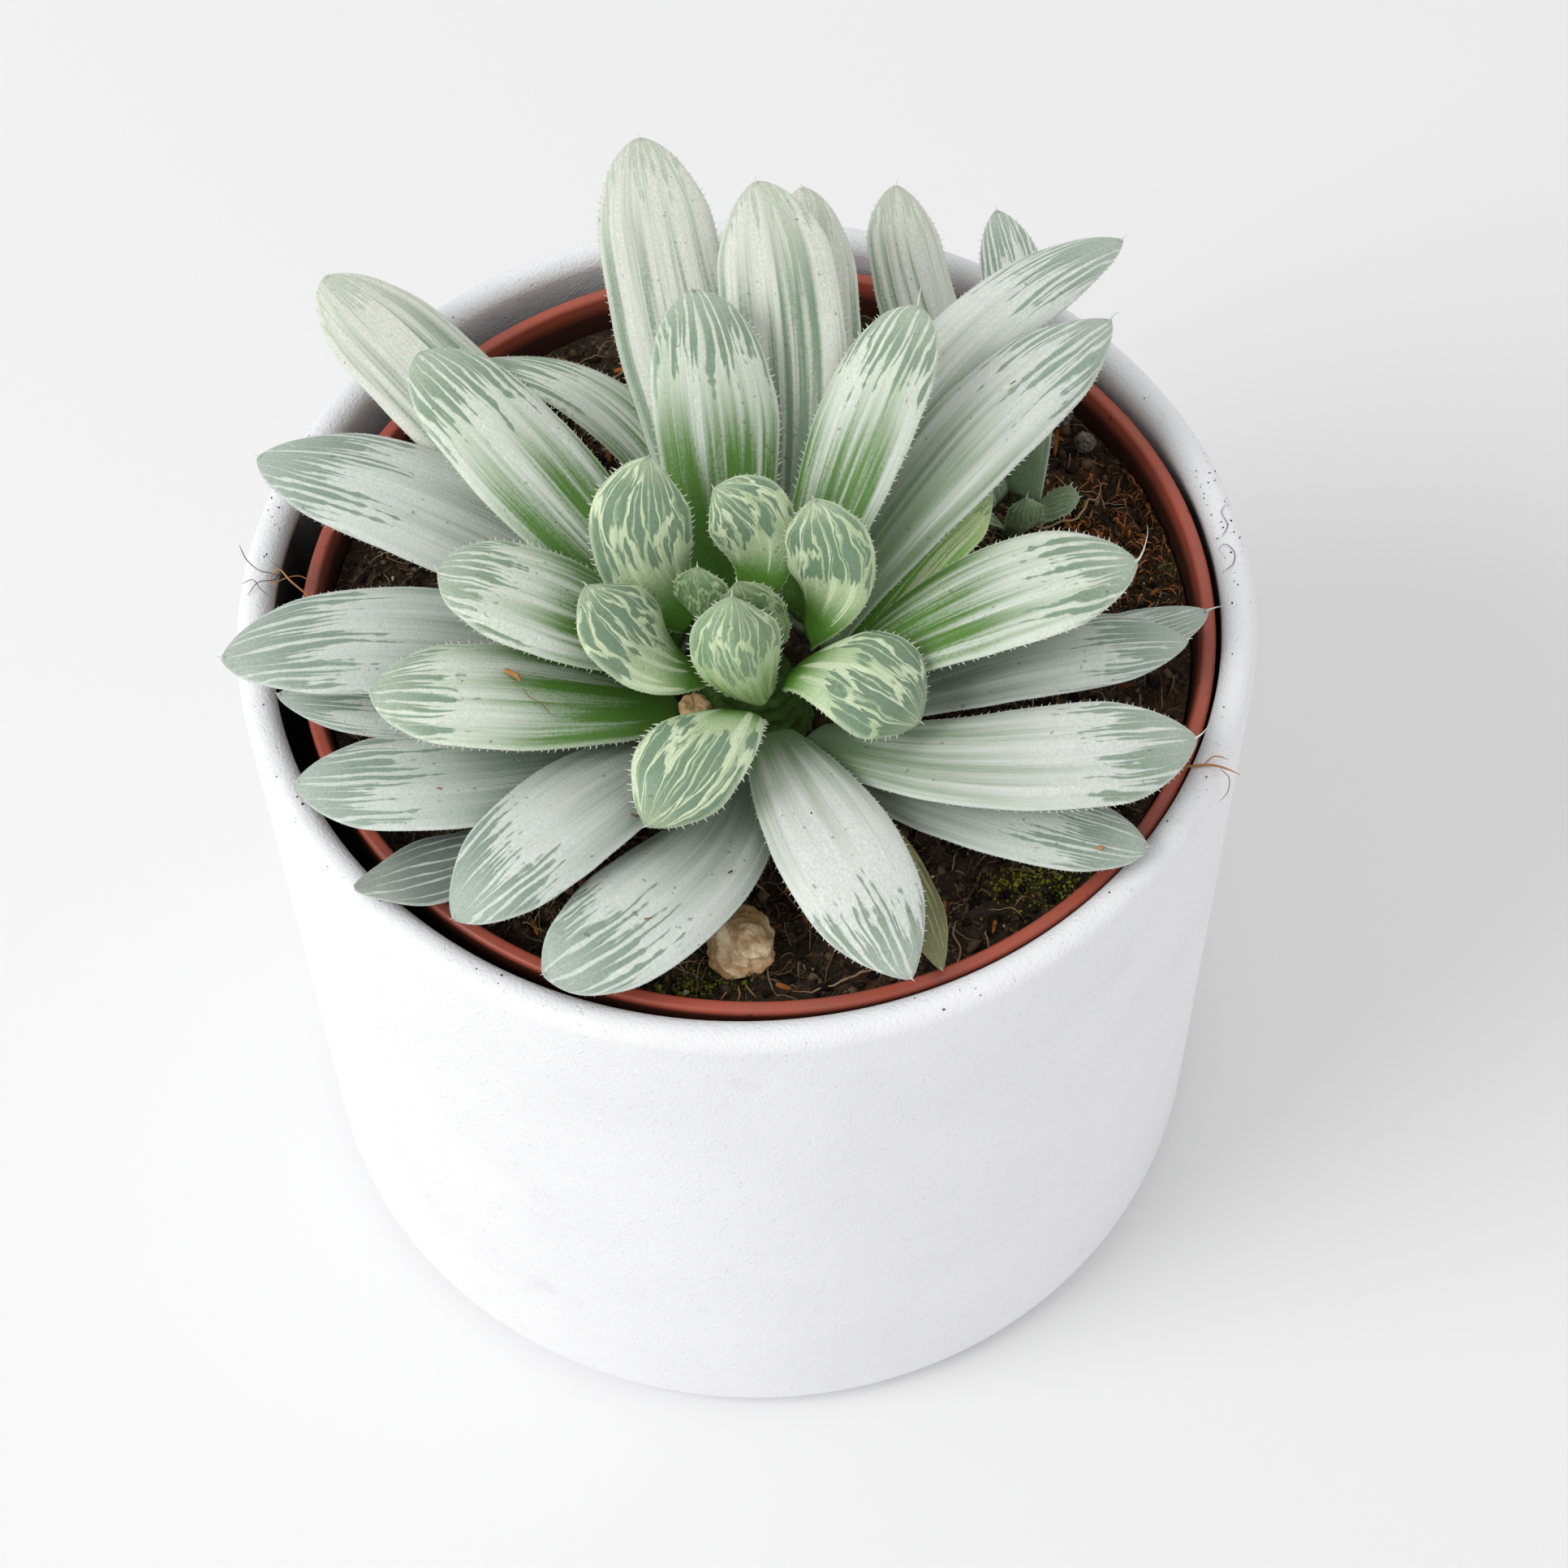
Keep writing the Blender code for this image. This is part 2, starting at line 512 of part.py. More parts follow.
def loose_piece(name, spot, half_sizes, turn, seed, collection, colour):
    """A rough rounded grain resting on the mix: a sphere pushed in and out by seeded amounts."""
    place = soil_spot(*spot)
    bpy.ops.mesh.primitive_ico_sphere_add(subdivisions=2, radius=1.0, location=(0.0, 0.0, 0.0))
    grain = bpy.context.active_object
    grain.name = name
    grain.data.name = name
    for owner in list(grain.users_collection):
        owner.objects.unlink(grain)
    collection.objects.link(grain)
    roughness = np.random.default_rng(seed)
    angle = math.radians(turn)
    half = Vector(half_sizes) * MM
    for vertex in grain.data.vertices:
        push = 1.0 + roughness.uniform(-0.12, 0.08)
        local = Vector(vertex.co) * push
        px = local.x * half.x
        py = local.y * half.y
        vertex.co = (px * math.cos(angle) - py * math.sin(angle),
                     px * math.sin(angle) + py * math.cos(angle),
                     local.z * half.z)
    lowest = min(vertex.co.z for vertex in grain.data.vertices)
    rest = soil_surface_at(place, half.x) + TOUCH_GAP - lowest
    grain.location = place + Vector((0.0, 0.0, rest))
    grain.data.materials.append(principled(name, colour, 0.9))
    grain.data.shade_smooth()
    return grain


# ---- Build ----

def main():
    clear_scene()
    parts = new_collection(OBJECT_NAME)
    cutters = new_collection("cutters", hidden=True)
    cover_pot(parts)
    nursery_pot(parts, cutters)
    soil(parts, cutters)
    stem("stem", PLANT_PLACE, STEM_OUTLINE, STEM_ROOT_RADIUS, STEM_ROOT_DEPTH, parts)
    offset_place = soil_spot(*OFFSET_SPOT)
    stem("offset_stem", offset_place, OFFSET_OUTLINE, OFFSET_ROOT_RADIUS, OFFSET_ROOT_DEPTH, parts)
    for leaf in LEAVES:
        leaf_part(leaf, PLANT_PLACE, STEM_OUTLINE, parts, (0.48, 0.56, 0.46))
    for leaf in OFFSET_LEAVES:
        leaf_part(leaf, offset_place, OFFSET_OUTLINE, parts, (0.25, 0.36, 0.2))
    flower_stalk(parts)
    for name, spot, half_sizes, turn, seed in LOOSE_PIECES:
        colour = (0.5, 0.38, 0.25) if name == "dry_husk" else (0.2, 0.19, 0.18)
        loose_piece(name, spot, half_sizes, turn, seed, parts, colour)


main()
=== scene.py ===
"""Potted variegated window-leaf succulent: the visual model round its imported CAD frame.

Every shape is a surface worked out with numpy on a grid. The leaves take their places, widths and
thicknesses from the sections of their CAD solids. All lengths are metres unless a name says mm.
"""

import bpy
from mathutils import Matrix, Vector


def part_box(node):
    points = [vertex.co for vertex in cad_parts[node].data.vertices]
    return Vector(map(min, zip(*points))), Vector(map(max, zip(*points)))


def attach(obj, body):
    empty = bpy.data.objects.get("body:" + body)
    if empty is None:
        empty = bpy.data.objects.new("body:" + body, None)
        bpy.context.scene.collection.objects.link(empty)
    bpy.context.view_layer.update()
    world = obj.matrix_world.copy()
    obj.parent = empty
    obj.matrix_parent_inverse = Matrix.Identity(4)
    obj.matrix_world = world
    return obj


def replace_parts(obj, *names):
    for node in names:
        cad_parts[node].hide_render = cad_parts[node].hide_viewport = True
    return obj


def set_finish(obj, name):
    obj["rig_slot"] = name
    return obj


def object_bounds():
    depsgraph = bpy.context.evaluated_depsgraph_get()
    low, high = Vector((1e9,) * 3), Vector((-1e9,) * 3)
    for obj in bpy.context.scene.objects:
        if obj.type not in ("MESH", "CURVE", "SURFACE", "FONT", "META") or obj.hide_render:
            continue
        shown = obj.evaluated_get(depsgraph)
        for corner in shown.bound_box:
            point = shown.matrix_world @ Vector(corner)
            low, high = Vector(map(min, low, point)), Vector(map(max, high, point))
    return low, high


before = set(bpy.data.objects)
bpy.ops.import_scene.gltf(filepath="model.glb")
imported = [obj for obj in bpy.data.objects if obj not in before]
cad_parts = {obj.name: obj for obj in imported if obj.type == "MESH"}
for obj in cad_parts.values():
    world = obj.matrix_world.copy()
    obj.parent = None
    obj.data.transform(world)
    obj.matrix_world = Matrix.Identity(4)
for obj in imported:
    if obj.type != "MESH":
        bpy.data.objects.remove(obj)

import math
from collections import namedtuple

import bpy
import numpy as np
from bpy.props import FloatProperty, FloatVectorProperty, IntProperty, PointerProperty
from mathutils import Euler

bl_info = {
    "name": "Potted Succulent",
    "version": (1, 0, 0),
    "blender": (4, 5, 0),
    "location": "View3D > Sidebar > Succulent",
    "description": "Builds a potted variegated succulent round its CAD frame",
    "category": "Add Mesh",
}

MM = 0.001
CAD_BOX = [list(map(float, corner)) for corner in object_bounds()]
ROOM = np.array(CAD_BOX)


def tint(red, green, blue):
    """A colour given as 0 to 255 display values, turned into the linear values that shaders use."""
    display = np.array([red, green, blue]) / 255.0
    linear = np.where(display <= 0.04045, display / 12.92, ((display + 0.055) / 1.055) ** 2.4)
    return tuple(float(value) for value in linear)


# ---- Leaf skins ----

# Five colours, then: share and lean of green at the base, strength and softness of bands, where the window
# starts, number and width of veins, how they wander, how much of a net they form, how ragged they are.
Skin = namedtuple("Skin", "pale green window vein back amount base bands soft start veins thin wander"
                          " network ragged form")
# How far the clasp narrows, how far the blade flares below its tip, how blunt the tip is, and how far
# the last part of the blade draws in to a point.
Form = namedtuple("Form", "waist flare blunt point")
# Colours as display values, numbers, form.
SKIN_TABLE = {
    "silver": (
        ((204, 208, 202), (122, 138, 124), (136, 154, 140), (208, 216, 208), (140, 153, 140)),
        (0.46, 0.95, 0.9, 0.56, 0.70, 12.0, 0.38, 0.8, 0.0, 6.5), (0.0, 0.08, 1.45, 0.0)),
    "white": (
        ((218, 221, 216), (124, 146, 114), (146, 164, 148), (214, 221, 213), (166, 178, 154)),
        (0.34, 1.45, 1.0, 0.56, 0.73, 12.0, 0.40, 0.8, 0.0, 6.5), (0.0, 0.08, 1.4, 0.0)),
    "pale": (
        ((214, 217, 207), (118, 142, 116), (184, 195, 178), (216, 220, 206), (166, 178, 154)),
        (0.28, 0.50, 2.0, 0.30, 0.90, 12.0, 0.5, 0.8, 0.0, 5.0), (0.0, 0.10, 1.6, 0.0)),
    "striped": (
        ((215, 222, 213), (84, 126, 50), (136, 158, 138), (214, 222, 207), (120, 144, 90)),
        (0.55, 1.60, 1.8, 0.44, 0.72, 11.0, 0.36, 0.9, 0.0, 6.0), (0.0, 0.06, 1.4, 0.0)),
    "inner": (
        ((212, 224, 190), (92, 140, 50), (121, 145, 122), (207, 221, 186), (132, 164, 92)),
        (0.62, 1.25, 2.2, 0.16, 0.40, 6.4, 0.06, 0.7, 0.95, 1.2), (0.12, 0.08, 1.35, 0.5)),
    "fresh": (
        ((228, 240, 200), (126, 190, 66), (136, 170, 120), (216, 230, 176), (112, 160, 66)),
        (0.66, 0.30, 2.0, 0.20, 0.84, 8.0, 0.3, 0.8, 0.2, 4.0), (-0.25, 0.2, 1.5, 0.2)),
    "bud": (
        ((150, 172, 120), (76, 108, 56), (88, 114, 80), (176, 192, 150), (92, 118, 72)),
        (0.66, 0.50, 1.9, 0.12, 0.20, 5.0, 0.06, 1.0, 0.9, 2.0), (-0.6, 0.2, 1.3, 0.4)),
    "pup": (
        ((138, 158, 118), (84, 112, 64), (112, 134, 108), (170, 188, 144), (90, 114, 70)),
        (0.55, 0.50, 1.6, 0.10, 0.35, 7.0, 0.26, 0.9, 0.4, 3.0), (-0.3, 0.2, 1.5, 0.3)),
    "amber": (
        ((176, 168, 116), (122, 124, 70), (118, 120, 84), (172, 172, 124), (118, 120, 74)),
        (0.50, 0.50, 1.2, 0.30, 0.60, 7.0, 0.2, 0.9, 0.0, 3.0), (-0.2, 0.2, 1.5, 0.0)),
    "smoke": (
        ((176, 184, 176), (112, 122, 112), (104, 114, 106), (190, 200, 188), (120, 132, 120)),
        (0.60, 0.40, 1.2, 0.30, 0.40, 7.0, 0.2, 0.8, 0.0, 4.0), (0.0, 0.3, 2.0, 0.0)),
}
SKINS = {
    name: Skin(*(tint(*colour) for colour in colours), *numbers, Form(*form))
    for name, (colours, numbers, form) in SKIN_TABLE.items()
}

# Look of each leaf, turn by turn: skin, tooth size, awn length in mm, awn curl, extra green.
Look = namedtuple("Look", "skin teeth awn curl green seed")
TURNS = {
    "leaf_lowest": (
        ("pale", 0.4, 0.8, 0.3, -0.04), ("pale", 0.5, 0.8, 0.2, 0.0), ("striped", 0.8, 0.8, 0.3, -0.06),
        ("silver", 0.2, 0.6, 0.3, 0.10), ("silver", 0.3, 0.6, 0.2, 0.16), ("smoke", 0.2, 0.5, 0.2, 0.04),
        ("silver", 0.3, 0.6, 0.2, 0.0), ("amber", 0.3, 0.6, 0.2, 0.0), ("silver", 0.4, 0.6, 0.2, 0.04),
        ("silver", 0.4, 0.8, 0.3, 0.04), ("silver", 0.3, 2.6, 0.8, 0.10), ("white", 0.5, 0.8, 0.2, 0.05),
        ("fresh", 0.8, 0.6, 0.2, 0.10),
    ),
    "leaf_lower": (
        ("pale", 0.8, 0.9, 0.2, 0.05), ("white", 0.8, 1.2, 0.3, 0.10), ("fresh", 0.9, 1.8, 0.6, -0.08),
        ("silver", 0.6, 0.8, 0.3, -0.12), ("silver", 0.6, 0.8, 0.2, 0.06),
        ("silver", 0.4, 0.6, 0.2, -0.06), ("white", 0.8, 1.8, 0.4, 0.05),
    ),
    "leaf_middle": (
        ("pale", 0.7, 1.0, 0.3, 0.10), ("white", 0.8, 2.2, 0.5, 0.22), ("striped", 0.9, 1.0, 0.3, -0.05),
        ("striped", 1.0, 0.9, 0.3, 0.16), ("white", 0.8, 0.8, 0.2, -0.24),
        ("striped", 1.0, 3.0, 1.4, -0.06),
    ),
    "leaf_upper": (
        ("striped", 1.0, 2.6, 0.4, 0.02), ("striped", 1.1, 1.2, 0.3, 0.06),
        ("striped", 1.0, 1.0, 0.3, 0.03), ("inner", 1.2, 0.9, 0.3, -0.10),
    ),
    "leaf_inner": (
        ("inner", 1.2, 0.6, 0.3, 0.02), ("inner", 0.9, 0.9, 0.3, 0.04), ("inner", 0.7, 0.9, 0.3, 0.02),
        ("inner", 1.2, 1.3, 0.2, 0.05), ("inner", 1.1, 0.9, 0.3, -0.12),
    ),
    "leaf_bud": (
        ("inner", 0.8, 0.9, 0.3, 0.03), ("bud", 0.8, 0.9, 0.2, 0.05), ("bud", 0.8, 0.9, 0.2, 0.05),
    ),
    "offset_leaf": (
        ("pup", 0.8, 1.4, 0.3, 0.0), ("pup", 1.2, 0.8, 0.3, 0.05), ("white", 0.9, 1.0, 0.3, -0.06),
        ("pale", 0.8, 0.9, 0.3, 0.05), ("pup", 0.8, 0.8, 0.3, 0.05),
    ),
}
NAMED_LOOKS = [
    (f"{turn}_{index:02d}", look)
    for turn, looks in TURNS.items() for index, look in enumerate(looks, 1)]
LOOKS = {name: Look(*look, seed) for seed, (name, look) in enumerate(NAMED_LOOKS, 1)}

# Slots of leaves by turn; the other turns are inner leaves.
LEAF_SLOTS = {
    "leaf_lowest": "outer_leaf", "leaf_lower": "outer_leaf", "leaf_middle": "outer_leaf",
    "offset_leaf": "offset_leaf",
}

# Darkest and lightest tone of loose and dry pieces, as display values.
BIT_TONES = {
    "peat_crumbs": ((22, 18, 15), (112, 92, 72)),
    "root_fibres": ((48, 38, 30), (182, 154, 120)),
    "rusty_tuft": ((50, 34, 22), (184, 118, 66)),
    "moss_grains": ((44, 58, 22), (158, 160, 52)),
    "bark_slivers": ((84, 46, 22), (186, 116, 58)),
    "pale_grains": ((150, 132, 84), (206, 198, 176)),
    "soil_specks": ((34, 26, 22), (190, 138, 88)),
    "dry_stalk": ((140, 100, 62), (218, 184, 140)),
    # The stem's tones are its own dark green, darkened further as painted shade for the rosette's centre.
    "stem_bark": ((44, 66, 24), (92, 126, 58)),
}


# ---- Numbers over surfaces ----

def lattice(ix, iy, seed):
    """A steady random value from 0 to 1 at whole-number places: an integer hash of places and seed."""
    mixed = (ix * 374761393 + iy * 668265263 + seed * 974634777) & 0xFFFFFFFF
    mixed = ((mixed ^ (mixed >> 13)) * 1274126177) & 0xFFFFFFFF
    return (mixed ^ (mixed >> 16)) / 4294967296.0


def ripple(x, y, seed):
    """Value noise: lattice values joined over each unit square with the weight 3s^2 - 2s^3 both ways."""
    ix = np.floor(x).astype(np.int64)
    iy = np.floor(y).astype(np.int64)
    sx = x - ix
    sy = y - iy
    sx = sx * sx * (3.0 - 2.0 * sx)
    sy = sy * sy * (3.0 - 2.0 * sy)
    low = lattice(ix, iy, seed) * (1.0 - sx) + lattice(ix + 1, iy, seed) * sx
    high = lattice(ix, iy + 1, seed) * (1.0 - sx) + lattice(ix + 1, iy + 1, seed) * sx
    return low * (1.0 - sy) + high * sy


def layered(x, y, seed, octaves):
    """Sum of ripples, each twice as fine and half as tall as the one before, brought to -1 to 1."""
    total = 0.0
    height = 1.0
    for octave in range(octaves):
        total = total + height * (2.0 * ripple(x * 2.0 ** octave, y * 2.0 ** octave, seed + octave) - 1.0)
        height *= 0.5
    return total / (2.0 - 2.0 * height)


def smooth_through(places, values, wanted):
    """Cubic Hermite curve through values at places, sloped by their neighbours, read where wanted."""
    slopes = np.gradient(values, places, axis=0)
    left = np.clip(np.searchsorted(places, wanted, side="right") - 1, 0, len(places) - 2)
    span = places[left + 1] - places[left]
    share = (wanted - places[left]) / span
    if values.ndim == 2:
        span = span[:, None]
        share = share[:, None]
    a = 2.0 * share ** 3 - 3.0 * share ** 2 + 1.0
    b = share ** 3 - 2.0 * share ** 2 + share
    c = share ** 3 - share ** 2
    before = a * values[left] + b * span * slopes[left]
    return before + (1.0 - a) * values[left + 1] + c * span * slopes[left + 1]


def hump(value, middle, width):
    """A bell: exp(-((value - middle) / width)^2)."""
    return np.exp(-((value - middle) / width) ** 2)


def around(count):
    """Evenly spaced angles round a circle."""
    return 2.0 * math.pi * np.arange(count) / count


def travelled(points):
    """Distance from the first point to each point along their line."""
    return np.concatenate([[0.0], np.cumsum(np.linalg.norm(np.diff(points, axis=0), axis=1))])


def read_at(wanted, places, fields):
    """Each field of vectors at places, read linearly at the wanted places."""
    return [np.stack([np.interp(wanted, places, column) for column in field.T], -1) for field in fields]


def unit(vectors):
    """Vectors divided by their lengths."""
    return vectors / np.maximum(np.linalg.norm(vectors, axis=-1, keepdims=True), 1e-12)


# ---- Meshes ----

def tube_faces(rows, cols, count=1):
    """Quads between neighbouring rings of closed tubes, and one flat face on each end."""
    ring = np.arange(cols)
    first = np.arange(rows - 1)[:, None] * cols
    near = first + ring
    far = first + (ring + 1) % cols
    quads = np.stack([near, far, far + cols, near + cols], -1).reshape(-1, 4)
    start = np.arange(count)[:, None] * rows * cols
    quads = (quads[None] + start[:, :, None]).reshape(-1, 4)
    ends = np.concatenate([ring[::-1] + start, ring + (rows - 1) * cols + start])
    return [quads, ends]


def swept(paths, radii, sides):
    """Round tubes along paths (count, steps, 3): ring point = path + radius (cos a side + sin a over)."""
    count, steps, _ = paths.shape
    along = unit(np.gradient(paths, axis=1))
    mean = unit(along.mean(axis=1))
    upright = np.abs(mean[:, 2]) > 0.7
    reference = np.where(upright[:, None], [1.0, 0.0, 0.0], [0.0, 0.0, 1.0])[:, None, :]
    side = unit(np.cross(reference, along))
    over = np.cross(along, side)
    angle = around(sides)
    ring = side[:, :, None] * np.cos(angle)[:, None] + over[:, :, None] * np.sin(angle)[:, None]
    points = paths[:, :, None] + ring * radii[:, :, None, None]
    return points.reshape(-1, 3), tube_faces(steps, sides, count)


class Shell:
    """Points, faces and per-point fields of a piece, gathered block by block."""

    def __init__(self):
        self.points = []
        self.faces = {}
        self.fields = {}
        self.total = 0

    def add(self, points, faces, **fields):
        """Put in a block of points (n, 3), its face arrays, and a value or an array for each field."""
        points = np.clip(np.asarray(points, float).reshape(-1, 3), *ROOM)
        for block in faces:
            self.faces.setdefault(block.shape[1], []).append(block + self.total)
        for name, value in fields.items():
            value = np.asarray(value, float)
            wide = (len(points),) + value.shape[-1:] if name == "blade" else (len(points),)
            self.fields.setdefault(name, []).append(np.broadcast_to(value, wide))
        self.points.append(points)
        self.total += len(points)

    def piece(self, name, material, slot):
        """Make the mesh object, give it its material, ride it on the body and name its slot."""
        mesh = bpy.data.meshes.new(name)
        points = np.concatenate(self.points).astype(np.float32)
        sets = [np.concatenate(blocks) for blocks in self.faces.values()]
        corners = np.concatenate([block.ravel() for block in sets]).astype(np.int32)
        sizes = np.concatenate([np.full(len(block), block.shape[1]) for block in sets])
        starts = np.concatenate([[0], np.cumsum(sizes)[:-1]]).astype(np.int32)
        mesh.vertices.add(len(points))
        mesh.vertices.foreach_set("co", points.ravel())
        mesh.loops.add(len(corners))
        mesh.loops.foreach_set("vertex_index", corners)
        mesh.polygons.add(len(sizes))
        mesh.polygons.foreach_set("loop_start", starts)
        mesh.update(calc_edges=True)
        for field, blocks in self.fields.items():
            values = np.concatenate(blocks).astype(np.float32)
            if field == "blade":
                layer = mesh.uv_layers.new(name="blade")
                layer.data.foreach_set("uv", values[corners].ravel())
            else:
                layer = mesh.attributes.new(field, "FLOAT", "POINT")
                layer.data.foreach_set("value", values)
        mesh.shade_smooth()
        made = bpy.data.objects.new(name, mesh)
        bpy.context.scene.collection.objects.link(made)
        mesh.materials.append(material)
        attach(made, "root")
        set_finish(made, slot)
        return made


def turned(profile, segments, centre, wobble=None):
    """A profile (radius, height) turned about a vertical axis: x = r cos a, y = r sin a, z = h.
    It runs from the underside's middle out, up the outside, over and down the inside."""
    profile = np.asarray(profile, float)
    angle = around(segments)
    radius = profile[:, :1] + np.zeros(segments)
    height = profile[:, 1:] + np.zeros(segments)
    if wobble is not None:
        radius, height = wobble(radius, height, angle)
    points = np.stack([centre[0] + radius * np.cos(angle), centre[1] + radius * np.sin(angle), height], -1)
    return points.reshape(-1, 3), tube_faces(len(profile), segments)


def arc(centre, radius, start, end, steps):
    """Profile points on an arc, from the start to the end angle in degrees."""
    angle = np.radians(np.linspace(start, end, steps))
    return np.stack([centre[0] + radius * np.cos(angle), centre[1] + radius * np.sin(angle)], -1)


def line(start, end, steps):
    """Profile points on a straight line."""
    share = np.linspace(0.0, 1.0, steps)[:, None]
    return (1.0 - share) * np.array(start) + share * np.array(end)


def cut_holes(made, cutters):
    """Cut round holes through a piece: each cutter is (x, y, low z, high z, radius)."""
    segments = 32
    for x, y, low, high, radius in cutters:
        shell = Shell()
        shell.add(*turned([(radius, low), (radius, high)], segments, (x, y)))
        cutter = shell.piece("cutter", made.data.materials[0], made["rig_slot"])
        cut = made.modifiers.new("Hole", "BOOLEAN")
        cut.object = cutter
        cut.solver = "EXACT"
        view = bpy.context.evaluated_depsgraph_get()
        carved = bpy.data.meshes.new_from_object(made.evaluated_get(view))
        made.modifiers.clear()
        made.data = carved
        bpy.data.objects.remove(cutter, do_unlink=True)


# ---- Shader graphs ----

class Graph:
    """Short names for the shader nodes of a material or a node group."""

    def __init__(self, tree, material=None):
        self.tree = tree
        self.material = material

    def put(self, value, socket):
        """Link a socket, or set a constant."""
        if isinstance(value, bpy.types.NodeSocket):
            self.tree.links.new(value, socket)
        elif socket.type == "RGBA" and len(value) == 3:
            socket.default_value = (*value, 1.0)
        else:
            socket.default_value = value

    def node(self, kind, inputs=(), **settings):
        """A node with its settings and its inputs."""
        made = self.tree.nodes.new(kind)
        for name, value in settings.items():
            setattr(made, name, value)
        for name, value in dict(inputs).items():
            self.put(value, made.inputs[name])
        return made

    def feed(self, values):
        """Set or link inputs of the material's shader by name, and give the material."""
        for name, value in values.items():
            self.put(value, self.tree.nodes["Principled BSDF"].inputs[name])
        return self.material

    def bump(self, height, depth, strength=1.0):
        """The normal of a height that is as deep as the depth in metres."""
        inputs = {"Height": height, "Distance": depth, "Strength": strength}
        return self.node("ShaderNodeBump", inputs).outputs[0]

    def math(self, operation, a, b=0.0, c=0.0):
        """One arithmetic step."""
        return self.node("ShaderNodeMath", {0: a, 1: b, 2: c}, operation=operation).outputs[0]

    def add(self, a, b):
        return self.math("ADD", a, b)

    def minus(self, a, b):
        return self.math("SUBTRACT", a, b)

    def times(self, a, b):
        return self.math("MULTIPLY", a, b)

    def scaled(self, value, factor, offset):
        """Value times factor, plus offset."""
        return self.math("MULTIPLY_ADD", value, factor, offset)

    def larger(self, a, b):
        return self.math("MAXIMUM", a, b)

    def step(self, value, low, high):
        """Smooth step from 0 at low to 1 at high."""
        inputs = {"Value": value, "From Min": low, "From Max": high}
        return self.node("ShaderNodeMapRange", inputs, interpolation_type="SMOOTHSTEP").outputs[0]

    def blend(self, share, a, b):
        """Mix two colours."""
        return self.node("ShaderNodeMix", {0: share, 6: a, 7: b}, data_type="RGBA").outputs[2]

    def vector(self, x, y, z=0.0):
        return self.node("ShaderNodeCombineXYZ", {0: x, 1: y, 2: z}).outputs[0]

    def mapped(self, where, kind="POINT", **changes):
        """A place moved, turned and scaled; TEXTURE undoes them instead."""
        changes = {name.capitalize(): value for name, value in changes.items()}
        return self.node("ShaderNodeMapping", {"Vector": where, **changes}, vector_type=kind).outputs[0]

    def noise(self, where, scale, detail=2.0, rough=0.5):
        """Noise from 0 to 1 at a place."""
        inputs = {"Vector": where, "Scale": scale, "Detail": detail, "Roughness": rough}
        return self.node("ShaderNodeTexNoise", inputs).outputs[0]

    def chance(self, number):
        """A random value from 0 to 1 for a number."""
        return self.node("ShaderNodeTexWhiteNoise", {"W": number}, noise_dimensions="1D").outputs[0]

    def cells(self, where, scale, feature="F1"):
        """Distances in a pattern of cells."""
        inputs = {"Vector": where, "Scale": scale}
        return self.node("ShaderNodeTexVoronoi", inputs, feature=feature).outputs["Distance"]

    def place(self):
        """Object coordinates."""
        return self.node("ShaderNodeTexCoord").outputs["Object"]

    def field(self, name):
        """A per-point number of the piece."""
        return self.node("ShaderNodeAttribute", attribute_name=name).outputs["Fac"]


def new_group(name, inputs, outputs):
    """A shader node group: inputs and outputs are (name, kind) with kind Float or Color."""
    tree = bpy.data.node_groups.new(name, "ShaderNodeTree")
    for label, kind in inputs:
        tree.interface.new_socket(label, in_out="INPUT", socket_type=f"NodeSocket{kind}")
    for label, kind in outputs:
        tree.interface.new_socket(label, in_out="OUTPUT", socket_type=f"NodeSocket{kind}")
    graph = Graph(tree)
    return graph, graph.node("NodeGroupInput").outputs, graph.node("NodeGroupOutput").inputs


def grain_group():
    """Fine skin grain from Object coordinates: a cell pattern and a soft noise."""
    graph, given, out = new_group("Fine grain", [("Size", "Float")], [("Value", "Float")])
    where = graph.place()
    size = graph.math("DIVIDE", 1.0, given["Size"])
    cell = graph.cells(where, size)
    soft = graph.noise(where, graph.times(size, 0.8), 3.0, 0.6)
    graph.put(graph.add(graph.times(cell, 0.6), graph.times(soft, 0.7)), out["Value"])
    return graph.tree


